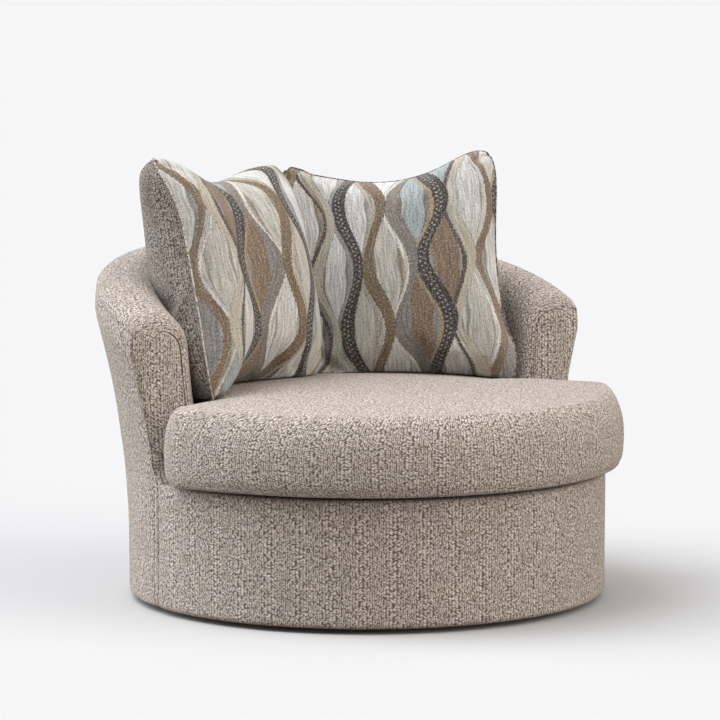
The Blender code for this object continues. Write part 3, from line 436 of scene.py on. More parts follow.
# A lattice of long waves: leaf shapes between wavy ribbons that meet and part again.
# Each ribbon: middle, swing, start, half width, swell, colour, edge colour, beads
pillowCloth = {
    "pitch": 0.072,
    "swing": 0.0212,
    "wave": 0.300,             # length of one wave
    "drift": 0.026,            # how far the whole pattern wanders sideways
    "driftScale": 5.0,
    "leaves": ["DBDBDC", "A0AAAD", "826F5E", "D1D0CE", "8D8B89", "C0BDB6"],
    "leafSides": ["ABA9A5", "D4D3D1", "999D9F", "A39583", "C5C3C0", "7E7976"],
    "leafCore": (0.205, 0.225),
    "leafLine": "6E665F",
    "leafLineAt": (0.200, 0.020),
    "leafLineShare": 0.55,
    "ribbons": [
        (-0.324, -0.0235, 0.00, 0.0150, 0.25, "7A6856", "54473B", False),
        (-0.288, 0.0240, 0.05, 0.0195, 0.20, "3F3B3C", "857C76", True),
        (-0.268, 0.0260, 0.25, 0.0052, 0.20, "B4A68D", "8E8473", False),
        (-0.216, -0.0230, 0.10, 0.0140, 0.40, "857260", "5E4F41", False),
        (-0.197, -0.0255, 0.35, 0.0058, 0.20, "D6D3CE", "9F9C96", False),
        (-0.144, 0.0235, -0.10, 0.0145, 0.35, "BDB6A8", "87827A", False),
        (-0.126, 0.0210, 0.10, 0.0056, 0.20, "5C534E", "423C3A", False),
        (-0.072, -0.0240, 0.05, 0.0205, 0.20, "3D3939", "857C76", True),
        (-0.051, -0.0260, 0.25, 0.0054, 0.20, "A19079", "7D6E5B", False),
        (0.000, 0.0230, 0.00, 0.0145, 0.40, "827D79", "5F5A57", False),
        (0.018, 0.0255, 0.20, 0.0056, 0.20, "D8D5D0", "A3A09A", False),
        (0.072, -0.0240, 0.10, 0.0160, 0.30, "776552", "54463A", False),
        (0.092, -0.0215, 0.30, 0.0054, 0.20, "B5AD9E", "8C8577", False),
        (0.144, 0.0235, -0.05, 0.0202, 0.20, "3B3738", "827973", True),
        (0.164, 0.0260, 0.15, 0.0056, 0.20, "9C9F9E", "777A79", False),
        (0.216, -0.0230, 0.10, 0.0145, 0.38, "BEB7AA", "87817A", False),
        (0.235, -0.0255, 0.35, 0.0052, 0.20, "584F4B", "423C3A", False),
        (0.288, 0.0240, 0.00, 0.0155, 0.30, "80705F", "5D4D40", False),
        (0.308, 0.0215, 0.20, 0.0054, 0.20, "D7D4CF", "A09D97", False),
    ],
    "swellStart": 31,          # ribbons swell at places that differ with their middle
    "ribbonEdge": 0.0006,
    "outline": (0.0012, 0.0020),
    "ragged": 0.012,
    "pickScale": 230.0,        # picks of the weave, drawn 4 mm wide so that they show
    "beadStep": 0.0058,        # half the distance between two beads of a row
    "beadRow": 0.0050,         # each row's distance from the ribbon's middle
    "beadRange": (0.0012, 0.0029, 0.72, 0.0),
    "bead": "D3CCC5",
    "fleckScale": 210.0,
    "flecks": [("B5ADA5", (0.51, 0.64, 0.0, 0.42)), ("4C4542", (0.49, 0.36, 0.0, 0.42))],
    "threadScale": 330.0,      # threads, drawn 3 mm wide so that they show
    "threadStretch": 0.05,
    "hatchRange": (0.38, 0.62, 0.74, 1.16),
    "bump": 0.0008,
    # how each pillow is cut from the cloth: which way round, and the shift sideways and up
    "leftCut": (1.0, 0.0, 0.06),
    "rightCut": (-1.0, 0.012, 0.21),
}


def ribbonMaterial(name, flip, shift, lift):
    # jacquard upholstery cloth: flat woven waves and leaf shapes, with raised bead stitches
    material, shader, add = newMaterial(name)
    pitch, turnOver = pillowCloth["pitch"], 2 * math.pi
    uv = add("UVMap", uv_map="weave")
    split = add("SeparateXYZ", [uv])
    broad = add("TexNoise", {"Vector": uv, "Scale": pillowCloth["driftScale"], "Detail": 1.0})
    placed = add("Math", (split.outputs[0], flip, shift), operation="MULTIPLY_ADD")
    x = add("Math", (broad, pillowCloth["drift"], placed), operation="MULTIPLY_ADD")
    z = add("Math", (split.outputs[1], lift), operation="ADD")
    theta = add("Math", (z, turnOver / pillowCloth["wave"]), operation="MULTIPLY")
    sway = add("Math", [theta], operation="SINE")
    # the picks of the weave leave every edge a little ragged
    picks = add("TexNoise", {"Vector": uv, "Scale": pillowCloth["pickScale"], "Detail": 1.0})
    ragged = add("Math", (picks, pillowCloth["ragged"], x), operation="MULTIPLY_ADD")
    warped = x
    for _ in range(2):
        turn = add("Math", (warped, math.pi / pitch), operation="MULTIPLY")
        turn = add("Math", [turn], operation="COSINE")
        move = add("Math", (turn, sway), operation="MULTIPLY")
        warped = add("Math", (move, -pillowCloth["swing"], x), operation="MULTIPLY_ADD")
    # every other column of leaves stands half a wave higher, and each leaf picks its own colours
    column = add("Math", (warped, 1 / pitch), operation="MULTIPLY")
    number = add("Math", [column], operation="FLOOR")
    inLeaf = add("Math", (column, 0.5), operation="PINGPONG")
    odd = add("Math", (number, 1.0), operation="PINGPONG")
    row = add("Math", (odd, 0.5, -0.25), operation="MULTIPLY_ADD")
    row = add("Math", (theta, 1 / turnOver, row), operation="MULTIPLY_ADD")
    row = add("Math", [row], operation="FLOOR")
    cell = add("CombineXYZ", (number, row))
    pick = add("TexWhiteNoise", {"Vector": cell}, noise_dimensions="2D")
    other = add("SeparateColor", [pick.outputs["Color"]])
    up = add("Math", (z, pillowCloth["threadStretch"]), operation="MULTIPLY")
    streakPlace = add("CombineXYZ", (warped, up))
    streaks = add("TexNoise", {"Vector": streakPlace, "Scale": pillowCloth["threadScale"], "Detail": 2.0})
    leafTones = []
    for value, colours in ((pick.outputs["Value"], "leaves"), (other.outputs[1], "leafSides")):
        ramp = add("ValToRGB", [value])
        ramp.color_ramp.interpolation = "CONSTANT"
        colours = pillowCloth[colours]
        setStops(ramp, [(i / len(colours), colour) for i, colour in enumerate(colours)])
        leafTones.append(ramp)
    core = add("MapRange", (inLeaf, *pillowCloth["leafCore"]))
    cloth = add("Mix", {0: core, 6: leafTones[1], 7: leafTones[0]}, data_type="RGBA")
    seamLine = add("Math", (inLeaf, *pillowCloth["leafLineAt"]), operation="COMPARE")
    lineShare = add("Math", (seamLine, pillowCloth["leafLineShare"]), operation="MULTIPLY")
    cloth = add("Mix", {0: lineShare, 6: cloth, 7: pillowCloth["leafLine"]}, data_type="RGBA")
    near = add("Math", (z, pillowCloth["beadStep"]), operation="PINGPONG")
    nearOther = add("Math", (pillowCloth["beadStep"], near), operation="SUBTRACT")
    for middle, swing, start, half, swell, colour, thread, beads in pillowCloth["ribbons"]:
        phase = add("Math", (theta, start), operation="ADD")
        wave = add("Math", [phase], operation="SINE")
        line = add("Math", (wave, -swing, ragged), operation="MULTIPLY_ADD")
        offset = add("Math", (line, middle), operation="SUBTRACT")
        distance = add("Math", [offset], operation="ABSOLUTE")
        later = add("Math", (phase, middle * pillowCloth["swellStart"]), operation="ADD")
        swelling = add("Math", [later], operation="COSINE")
        width = add("Math", (swelling, half * swell, half), operation="MULTIPLY_ADD")
        depth = add("Math", (width, distance), operation="SUBTRACT")
        inside = add("MapRange", (depth, 0.0, pillowCloth["ribbonEdge"]))
        edge = add("MapRange", (depth, *pillowCloth["outline"]))
        body = add("Mix", {0: edge, 6: thread, 7: colour}, data_type="RGBA")
        if beads:
            for sideways, up in ((pillowCloth["beadRow"], near), (-pillowCloth["beadRow"], nearOther)):
                aside = add("Math", (offset, sideways), operation="SUBTRACT")
                spot = add("CombineXYZ", (aside, up))
                far = add("VectorMath", [spot], operation="LENGTH")
                bead = add("MapRange", (far, *pillowCloth["beadRange"]))
                body = add("Mix", {0: bead, 6: body, 7: pillowCloth["bead"]}, data_type="RGBA")
        cloth = add("Mix", {0: inside, 6: cloth, 7: body}, data_type="RGBA")
    # heathered yarn: pale and dark flecks in every colour
    speck = add("TexNoise", {"Vector": uv, "Scale": pillowCloth["fleckScale"], "Detail": 2.0})
    for colour, fleckRange in pillowCloth["flecks"]:
        share = add("MapRange", (speck, *fleckRange))
        cloth = add("Mix", {0: share, 6: cloth, 7: colour}, data_type="RGBA")
    # fine hatching: threads that run along the waves, lighter and darker
    hatch = add("MapRange", (streaks, *pillowCloth["hatchRange"]))
    shaded = add("VectorMath", {0: cloth, "Scale": hatch}, operation="SCALE")
    rough = add("Math", (streaks, speck), operation="ADD")
    bump = add("Bump", {"Strength": 0.6, "Distance": pillowCloth["bump"], "Height": rough})
    feed(shader, {"Base Color": shaded, "Normal": bump, "Roughness": 0.85, "Specular IOR Level": 0.2,
                  "Sheen Weight": 0.12, "Sheen Roughness": 0.5})
    return material


leftRibbonCloth = ribbonMaterial("jacquard_waves_left", *pillowCloth["leftCut"])
rightRibbonCloth = ribbonMaterial("jacquard_waves_right", *pillowCloth["rightCut"])
print("cloth materials made")


# Inside cover: up the inner wall, over the roll and down to its seam

insideCover = {
    "columns": 230,
    "rows": 84,
    "wallShare": 0.50,         # share of the rows that lie on the wall
    "rollCrowding": 0.6,
    "weaveLine": 0.75,         # the weave's columns are spaced along this row
}


def insidePoint(a, b):
    wall = insideCover["wallShare"]
    rollShare = 2 * crowd(0.5 + (b - wall) / (1 - wall) / 2, insideCover["rollCrowding"]) - 1

    def profile(turn, inset):
        if b <= wall:
            return innerWall(turn, b / wall, inset)
        angle = between(innerTangent(turn, inset), barrel["rollSeam"] + barrel["rollSeamGap"], rollShare)
        return onRoll(turn, angle, inset + seamPull((angle - barrel["rollSeam"]) * barrel["rollRadius"]))

    def edge(turn):
        if b <= wall:
            return barrel["edgeOnTop"]
        return frontInset(between(innerTangent(turn), barrel["rollSeam"], rollShare))

    return carried(2 * crowd(a) - 1, profile, frontFace, edge)


# Outside cover: from the hem up the wall and on to the roll's outer side

outsideCover = {
    "columns": 230,
    "rows": 84,
    "hemTurn": 0.018,          # width of cloth that turns in under the drum
    "hemFlat": 0.35,
    "hemShare": 0.10,
    "wallShare": 0.88,
    "edge": 0.0035,
    "seamPull": 1.2,
    "weaveLine": 0.5,
}


def hemProfile(share, inset):
    # the cloth turns in under the hem round a small corner
    corner = barrel["drumRadius"] - barrel["hemRound"]
    flat = outsideCover["hemFlat"]
    if share < flat:
        start = barrel["drumRadius"] - outsideCover["hemTurn"]
        return between(start, corner, share / flat), barrel["hemHeight"] + inset
    angle = -quarter + quarter * (share - flat) / (1 - flat)
    reach = barrel["hemRound"] - inset
    return corner + reach * math.cos(angle), hemTop + reach * math.sin(angle)


def outsidePoint(a, b):
    hem, wall = outsideCover["hemShare"], outsideCover["wallShare"]

    def profile(turn, inset):
        toSeam = abs(abs(turn) - quarter) * barrel["drumRadius"]
        pull = inset + outsideCover["seamPull"] * seamPull(toSeam)
        if b < hem:
            return hemProfile(b / hem, pull)
        if b < wall:
            height = between(hemTop, rollCentre(turn)[1], (b - hem) / (wall - hem))
            return outerRadius(height, turn) - pull, height
        share = math.sin(quarter * (b - wall) / (1 - wall))
        angle = (barrel["rollSeam"] - barrel["rollSeamGap"]) * share
        return onRoll(turn, angle, inset + seamPull((barrel["rollSeam"] - angle) * barrel["rollRadius"]))

    def edge(turn):
        return outsideCover["edge"]

    return carried(2 * crowd(a) - 1, profile, sideSeam, edge)


# Front border of the drum, from side seam to side seam

frontBorder = {
    "columns": 210,
    "rows": 46,
    "lipWidth": 0.032,
    "lipRound": 0.012,
    "lipAtSeam": 0.35,         # the lip is rounded less beside the side seams
    "lipGrowth": 14,
    "hemShare": 0.16,
    "wallShare": 0.84,
    "roundShare": 0.91,
    "seamGap": 0.0012,
    "seamPull": 1.5,
    "weaveLine": 0.5,
    "weaveShift": 2.0,         # so that its weave differs from the outside cover's
}


def frontPoint(a, b):
    along = 2 * crowd(a) - 1
    hem, wall, lipEnd = frontBorder["hemShare"], frontBorder["wallShare"], frontBorder["roundShare"]
    grown = smoothStep((1 - abs(along)) * frontBorder["lipGrowth"])
    lip = frontBorder["lipRound"] * between(frontBorder["lipAtSeam"], 1.0, grown)
    top = barrel["deck"] - lip
    if b < hem:
        radius, height = hemProfile(b / hem, 0.0)
    elif b < wall:
        radius, height = barrel["drumRadius"], between(hemTop, top, (b - hem) / (wall - hem))
    elif b < lipEnd:
        angle = quarter * (b - wall) / (lipEnd - wall)
        radius = barrel["drumRadius"] - lip * (1 - math.cos(angle))
        height = top + lip * math.sin(angle)
    else:
        share = (b - lipEnd) / (1 - lipEnd)
        radius = barrel["drumRadius"] - lip - frontBorder["lipWidth"] * share
        height = barrel["deck"]
    reach = quarter + math.asin((barrel["sideSeam"] - frontBorder["seamGap"]) / radius)
    turn = math.pi + reach * along
    if b < wall:
        toSeam = (1 - abs(along)) * reach * radius
        radius -= frontBorder["seamPull"] * seamPull(toSeam) - softness(height, turn)
    return Vector((radius * math.sin(turn), radius * math.cos(turn), height))


# Arm front panels, set in behind a seam that runs inside the arm's edge

armPanel = {
    "columns": 26,
    "rows": 64,
    "foot": 0.3008,
    "height": 0.35,
    "wallShare": 0.62,         # share of the rows below the roll's centre
    "crowding": 0.6,
    "puff": 0.0075,
    "puffSide": 0.045,         # the padding is full from here inward
    "puffTop": 0.06,
    "topPull": 0.8,
    "apron": 0.020,            # how far the cloth turns forward at the foot, on to the drum's lip
    "apronHeight": 0.022,
    "weaveShift": 0.3,
}


def armEdges(row, turn):
    # the panel's outer and inner edge as (radius, height), for a row from 0 at the foot to 1 on top
    radius, centre = rollCentre(turn)
    wall = armPanel["wallShare"]
    if row <= wall:
        height = between(armPanel["foot"], centre, row / wall)
        outer = (outerRadius(height, turn) - barrel["edgeAtSeam"], height)
        tangent = onRoll(turn, innerTangent(turn))
        if height < tangent[1]:
            share = (height - barrel["foot"]) / (tangent[1] - barrel["foot"])
            inner = between(barrel["innerRadius"], tangent[0], share)
        else:
            inner = radius - math.sqrt(barrel["rollRadius"] ** 2 - (height - centre) ** 2)
        return outer, (inner + barrel["edgeOnTop"], height)
    angle = quarter * math.sin(quarter * (row - wall) / (1 - wall))
    return onRoll(turn, angle, frontInset(angle)), onRoll(turn, math.pi - angle, barrel["edgeOnTop"])


def armPoint(side):
    turn = quarter
    for _ in range(5):
        radius, centre = rollCentre(turn)
        turn = math.acos(frontFace(centre) / radius)

    def pointAt(a, b):
        share = crowd(a, armPanel["crowding"])
        outer, inner = armEdges(b, turn)
        radius, height = (between(start, end, share) for start, end in zip(inner, outer))
        y = frontFace(height)
        toEdge = min(share, 1 - share) * (outer[0] - inner[0])
        toTop = (1 - b) * armPanel["height"]
        fullness = min(1.0, toEdge / armPanel["puffSide"]) * min(1.0, toTop / armPanel["puffTop"])
        swell = armPanel["puff"] * math.sqrt(fullness)
        sink = seamPull(toEdge) + seamPull(toTop) * armPanel["topPull"]
        x = math.sqrt(max(0.0, radius**2 - y**2))
        upright = smoothStep((height - armPanel["foot"]) / armPanel["apronHeight"])
        return Vector((side * x, y - (swell - sink) * upright - armPanel["apron"] * (1 - upright), height))

    return pointAt


def armWeave(pointAt):
    def weaveAt(a, b):
        point = pointAt(a, b)
        return point.x + armPanel["weaveShift"], point.z

    return weaveAt


leftArm, rightArm = armPoint(-1), armPoint(1)
# Each cover: its name, sizes, shape and weave, a spot inside it, whether its faces look inward, and
# the CAD nodes that it replaces
coverPieces = [
    ("inside_cover_padded", insideCover, insidePoint,
     weaveLayout(insidePoint, insideCover["weaveLine"]),
     (0, 0.30, 0.45), True, ["inside_back_cover"]),
    ("outside_cover", outsideCover, outsidePoint,
     weaveLayout(outsidePoint, outsideCover["weaveLine"]),
     (0, 0, 0.4), False, ["outside_back_cover"]),
    ("front_border", frontBorder, frontPoint,
     weaveLayout(frontPoint, frontBorder["weaveLine"], frontBorder["weaveShift"]),
     (0, 0, 0.15), False, ["front_border_cover"]),
    ("arm_panel_left", armPanel, leftArm, armWeave(leftArm),
     (-0.5, 0.2, 0.45), False, ["arm_front_cover_left", "arm_pad_left"]),
    ("arm_panel_right", armPanel, rightArm, armWeave(rightArm),
     (0.5, 0.2, 0.45), False, ["arm_front_cover_right", "arm_pad_right"]),
]
for *cover, replaced in coverPieces:
    piece = makeCover(*cover)
    wear(piece, greigeChenille)
    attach(piece, "chair")
    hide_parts(*replaced)
print("barrel covers made")


# Loose seat cushion: a half-disc front with ears and a smaller round back

seatPad = {
    "radius": 0.608,
    "backRadius": 0.419,
    "bottom": 0.3008,
    "sideHeight": 0.187,
    # how far the side lies in at a share of its height
    "side": [(0.0, 0.034), (0.05, 0.014), (0.16, 0.004), (0.42, 0.0), (0.66, 0.003),
             (0.84, 0.014), (0.95, 0.028), (1.0, 0.040)],
    "sideRows": 34,
    "topRows": 30,
    "bottomRows": [0.30, 0.62, 0.86],
    "bottomInset": 0.036,
    "bottomMiddle": -0.09,
    "sideWeave": 0.215,        # length of cloth up the side
    "crown": 0.020,
    "crownCurve": 2.4,
    "earBack": -0.030,
    "earRound": 0.100,
    "earDrop": 0.005,
    "earEdge": 0.55,           # how much tighter the ears' edges are rounded
    "earReach": 2.5,
    "earFillet": 0.030,
    "outlineSteps": (66, 18, 8, 44),   # along the front, an ear, its notch and the back
    "earFrom": (0.36, -0.34),  # where the ears begin, sideways and from the front
    "earGrowth": (0.16, 0.20),
    "seamHeight": 0.020,       # the seam of the underside, up the front
    "seamTuck": 0.0035,
    "seamReach": 0.004,
    "rimLift": 0.008,          # the underside's edge stands clear of the drum
    "rimCurve": 8,
    "softness": 0.0022,
    "dents": 5,                # soft unevenness on top, dents in a metre
    "dentPattern": 0.7,
}


def arcPoints(x, y, radius, start, end, steps):
    angles = [start + (end - start) * i / steps for i in range(steps + 1)]
    return [(x + radius * math.cos(a), y + radius * math.sin(a)) for a in angles]


def padOutline(inset):
    front = seatPad["radius"] - inset
    back = seatPad["backRadius"] - inset
    edge = seatPad["earBack"] - inset
    corner, fillet = seatPad["earRound"], seatPad["earFillet"]
    cornerY = edge - corner
    cornerX = math.sqrt((front - corner) ** 2 - cornerY**2)
    filletY = edge + fillet
    filletX = math.sqrt((back + fillet) ** 2 - filletY**2)
    start = math.atan2(cornerY, cornerX)
    notch = math.atan2(filletY, filletX)
    frontSteps, earSteps, notchSteps, backSteps = seatPad["outlineSteps"]
    half = arcPoints(0, 0, front, -quarter, start, frontSteps)
    half += arcPoints(cornerX, cornerY, corner, start, quarter, earSteps)[1:]
    half += arcPoints(filletX, filletY, fillet, -quarter, notch - math.pi, notchSteps)
    half += arcPoints(0, 0, back, notch, quarter, backSteps)[1:]
    return half + [(-x, y) for x, y in half[-2:0:-1]]


def earShare(x, y):
    # 1 on the ears, 0 on the half-disc front and the round back
    (fromX, fromY), (growthX, growthY) = seatPad["earFrom"], seatPad["earGrowth"]
    return smoothStep((abs(x) - fromX) / growthX) * smoothStep((y - fromY) / growthY)


def earDrop(x, y):
    corner = seatPad["earRound"]
    outward = smoothStep((abs(x) - seatPad["backRadius"] + corner / 2) / (2 * corner))
    backward = smoothStep(1 - (seatPad["earBack"] - y) / (seatPad["earReach"] * corner))
    return seatPad["earDrop"] * outward * backward


def smoothLine(points, share):
    # a smooth line through pairs of share and value
    for i in range(len(points) - 1):
        if share <= points[i + 1][0]:
            break
    p0, p1 = points[max(0, i - 1)], points[i]
    p2, p3 = points[i + 1], points[min(len(points) - 1, i + 2)]
    wide = p2[0] - p1[0]
    t = (share - p1[0]) / wide
    m1 = (p2[1] - p0[1]) / (p2[0] - p0[0]) * wide
    m2 = (p3[1] - p1[1]) / (p3[0] - p1[0]) * wide
    return ((2 * t**3 - 3 * t**2 + 1) * p1[1] + (t**3 - 2 * t**2 + t) * m1
            + (-2 * t**3 + 3 * t**2) * p2[1] + (t**3 - t**2) * m2)


def padRows():
    # rings of points from the middle of the underside to the middle of the top
    rows, weave = [], []
    middleY = (seatPad["backRadius"] - seatPad["radius"]) / 2
    for scale in seatPad["bottomRows"]:
        rim = padOutline(seatPad["bottomInset"])
        rows.append([(x * scale, between(seatPad["bottomMiddle"], y, scale), seatPad["bottom"])
                     for x, y in rim])
        weave.append(None)
    for k in range(seatPad["sideRows"] + 1):
        share = 0.5 - 0.5 * math.cos(math.pi * k / seatPad["sideRows"])
        fromSeam = share * seatPad["sideHeight"] - seatPad["seamHeight"]
        inset = smoothLine(seatPad["side"], share)
        inset += seatPad["seamTuck"] * math.exp(-(fromSeam / seatPad["seamReach"]) ** 2)
        row = []
        for spot, tight in zip(padOutline(inset), padOutline(inset * (1 - seatPad["earEdge"]))):
            ear = earShare(*spot)
            x, y = between(spot[0], tight[0], ear), between(spot[1], tight[1], ear)
            height = seatPad["bottom"] + seatPad["sideHeight"] * share - share * earDrop(x, y)
            row.append((x, y, height + seatPad["rimLift"] * (1 - share) ** seatPad["rimCurve"]))
        rows.append(row)
        weave.append(share * seatPad["sideWeave"])
    rim = [(x, y) for x, y, _ in rows[-1]]
    base = seatPad["bottom"] + seatPad["sideHeight"]
    for k in range(1, seatPad["topRows"]):
        scale = 1 - k / seatPad["topRows"]
        crown = seatPad["crown"] * (1 - scale ** seatPad["crownCurve"])
        row = []
        for x, y in rim:
            across, along = x * scale, between(middleY, y, scale)
            spot = (across * seatPad["dents"], along * seatPad["dents"], seatPad["dentPattern"])
            dent = noise.noise(Vector(spot))
            dent *= seatPad["softness"] * (1 - scale)
            row.append((across, along, base + crown + dent - earDrop(across, along)))
        rows.append(row)
        weave.append(None)
    return rows, weave


def makeSeatPad():
    outline = padOutline(0.0)
    around = runningLengths(outline + outline[:1])
    rows, weave = padRows()
    count = len(outline)
    points = [Vector(spot) for row in rows for spot in row]
    faces, places = [], []
    for i in range(len(rows) - 1):
        onSide = weave[i] is not None and weave[i + 1] is not None
        for j in range(count):
            corners = ((i, j), (i, j + 1), (i + 1, j + 1), (i + 1, j))
            faces.append([r * count + c % count for r, c in corners])
            places += [(around[c], weave[r]) if onSide else points[r * count + c % count].xy
                       for r, c in corners]
    for face in (range(count)[::-1], range(len(points) - count, len(points))):
        faces.append(list(face))
        places += [points[i].xy for i in face]
    mesh = bpy.data.meshes.new("seat_cushion_padded")
    mesh.from_pydata(points, [], faces)
    layer = mesh.uv_layers.new(name="weave")
    for loop, place in enumerate(places):
        layer.data[loop].uv = place
    obj = linkObject("seat_cushion_padded", mesh)
    makeActive(obj)
    bpy.ops.object.mode_set(mode="EDIT")
    bpy.ops.mesh.select_all(action="SELECT")
    bpy.ops.mesh.normals_make_consistent(inside=False)
    bpy.ops.object.mode_set(mode="OBJECT")
    smoothShade(obj)
    return obj


seatCushion = makeSeatPad()
wear(seatCushion, greigeChenille)
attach(seatCushion, "seat_cushion")
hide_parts("seat_cushion")
print("seat cushion made")


# Pillows: a cage of two cloth sides, set down on the cushion and pressed against the barrel

pillowCut = {
    "fullness": 0.36,
    "ears": 5,                 # lower is rounder
    "pullCurve": 1.8,
    "slackLoss": 0.8,
    "slackWidth": 0.6,
    "shiftSide": (0.35, 0.55),
    "shiftTop": (0.95, 0.50),
    "grid": 12,
    "swellFrom": -0.5,         # the front swells from here to the right
    "above": 2.0,              # a height above everything, to look down from
    "sink": 0.062,             # how deep a pillow's foot is pressed flat on the cushion
    "gap": 0.0017,
    "restGap": 0.0009,
    "wallGap": 0.0003,
    "beside": 0.7,             # past an edge of what it leans on, a point is left alone
    "rounds": 20,
    "crease": 0.85,
    "holdNear": 0.006,         # cloth this close to what it touches isn't moved by the filling
    "holdMiddle": 0.002,
    "pressure": 4.0,
    "cap": 0.018,              # the most that the filling may move the cloth
    "frames": 20,
    "twist": 0.006,            # length of one turn of the welt's cord
    "twistSwell": (0.72, 1.0, 1.12, 1.0),
}
leftPillow = {
    "name": "pillow_left",
    "width": 0.578,
    "height": 0.640,
    "turn": math.radians(-49.64),
    "inward": 0.1193,
    "heading": math.radians(28.0),
    "lean": math.radians(15.0),
    "roll": math.radians(5.0),
    "bend": 0.45,
    "topPull": 0.222,          # how far the edges between the ears draw in
    "sidePull": 0.075,
    "front": 0.150,
    "back": 0.100,
    "slackSide": "back",
    "slackFrom": 0.30,
    "swell": 0.060,
    "seamShift": 0.038,        # the outer seam sits this far toward the front
    "welt": 0.0021,
}
rightPillow = {
    "name": "pillow_right",
    "width": 0.616,
    "height": 0.647,
    "turn": math.radians(45.327),
    "inward": 0.17751,
    "heading": math.radians(-36.0),
    "lean": math.radians(16.0),
    "roll": math.radians(-6.0),
    "bend": 0.80,
    "topPull": 0.222,
    "sidePull": 0.125,
    "front": 0.100,
    "back": 0.090,
    "slackSide": "front",
    "slackFrom": -0.15,
    "swell": 0.0,
    "seamShift": 0.0,
    "welt": 0.0026,
}


def pillowPoint(size, s, t, face):
    # s and t run from -1 to 1 across and up the cut; face is -1 in front, 1 behind and 0 on the seam
    ears, curve = pillowCut["ears"], pillowCut["pullCurve"]
    nearer = min(abs(s), abs(t)) / max(abs(s), abs(t), 1e-9)
    rounded = (1 + nearer**ears) ** (-1 / ears)
    x = size["width"] / 2 * s * (1 - size["sidePull"] * (1 - t * t) ** curve) * rounded
    z = size["height"] / 2 * t * (1 - size["topPull"] * (1 - s * s) ** curve) * rounded
    depth = size["back"] if face > 0 else size["front"]
    if face < 0:
        depth += size["swell"] * smoothStep(s - pillowCut["swellFrom"])
    slack, width = 1.0, pillowCut["slackWidth"]
    if size["slackSide"] == "back" and face > 0:
        slack = 1 - pillowCut["slackLoss"] * smoothStep((s - size["slackFrom"]) / width)
    if size["slackSide"] == "front" and face < 0:
        slack = smoothStep((s - size["slackFrom"] + width) / width)
    full = ((1 - s * s) * (1 - t * t)) ** pillowCut["fullness"]
    (side, sideWidth), (top, topWidth) = pillowCut["shiftSide"], pillowCut["shiftTop"]
    shift = size["seamShift"] * smoothStep((-s - side) / sideWidth) * smoothStep((top - t) / topWidth)
    return x, face * depth * full * slack - shift, z


def pillowToWorld(size, x, depth, z):
    bend, half = size["bend"], size["height"] / 2
    turn = x / bend
    bent = Vector(((bend + depth) * math.sin(turn), (bend + depth) * math.cos(turn) - bend, z + half))
    lift = Vector((0, 0, half))
    roll = Matrix.Rotation(size["roll"], 3, "Y")
    lean = Matrix.Rotation(-size["lean"], 3, "X")
    heading = Matrix.Rotation(size["heading"], 3, "Z")
    point = heading @ (lean @ (roll @ (bent - lift) + lift))
    radius = barrel["innerRadius"] - size["inward"]
    height = barrel["deck"] + pillowCut["wallGap"] + seatPad["sideHeight"]
    return point + Vector((radius * math.sin(size["turn"]), radius * math.cos(size["turn"]), height))


def nodeTree(node):
    # a CAD node's outside, for what leans on it
    mesh = nodes[node].data
    corners = [p.vertices[:] for p in mesh.polygons]
    return BVHTree.FromPolygons([v.co.copy() for v in mesh.vertices], corners)


def pushOut(spot, tree):
    # the move that takes a spot clear of what it leans on
    touched, normal, _, _ = tree.find_nearest(spot)
    away = spot - touched
    height, gap = away.dot(normal), pillowCut["gap"]
    beside = away.length > gap and abs(height) < pillowCut["beside"] * away.length
    return Vector() if height > gap or beside else normal * (gap - height)


def keepSide(points, side):
    # neither pillow crosses the middle, so that they only touch each other there
    for point in points:
        point.x = side * max(pillowCut["wallGap"], side * point.x)


def seatOn(points, cushion):
    tops = []
    for point in points:
        hit = cushion.ray_cast(Vector((point.x, point.y, pillowCut["above"])), Vector((0, 0, -1)))
        tops.append(hit[0].z if hit[0] else None)
    rise = min(p.z - top for p, top in zip(points, tops) if top is not None)
    for point, top in zip(points, tops):
        point.z -= rise + pillowCut["sink"]
        if top is not None:
            point.z = max(point.z, top + pillowCut["wallGap"])


def pressOut(points, faces, obstacles, side):
    # moves the cage's points until its edges and diagonals are clear too
    lines = set()
    for a, b, c, d in faces:
        for pair in ((a, b), (b, c), (c, d), (d, a), (a, c), (b, d)):
            lines.add(tuple(sorted(pair)))
    for _ in range(pillowCut["rounds"]):
        for i, j in sorted(lines):
            for share in (0, 0.25, 0.5, 0.75, 1):
                sample = points[i].lerp(points[j], share)
                for tree in obstacles:
                    push = pushOut(sample, tree) / ((1 - share) ** 2 + share**2)
                    points[i] += push * (1 - share)
                    points[j] += push * share
        keepSide(points, side)


def settle(points, cushion):
    below = [cushion.ray_cast(point, Vector((0, 0, -1)))[3] for point in points]
    drop = min(gap for gap in below if gap is not None) - pillowCut["restGap"]
    for point in points:
        point.z -= drop


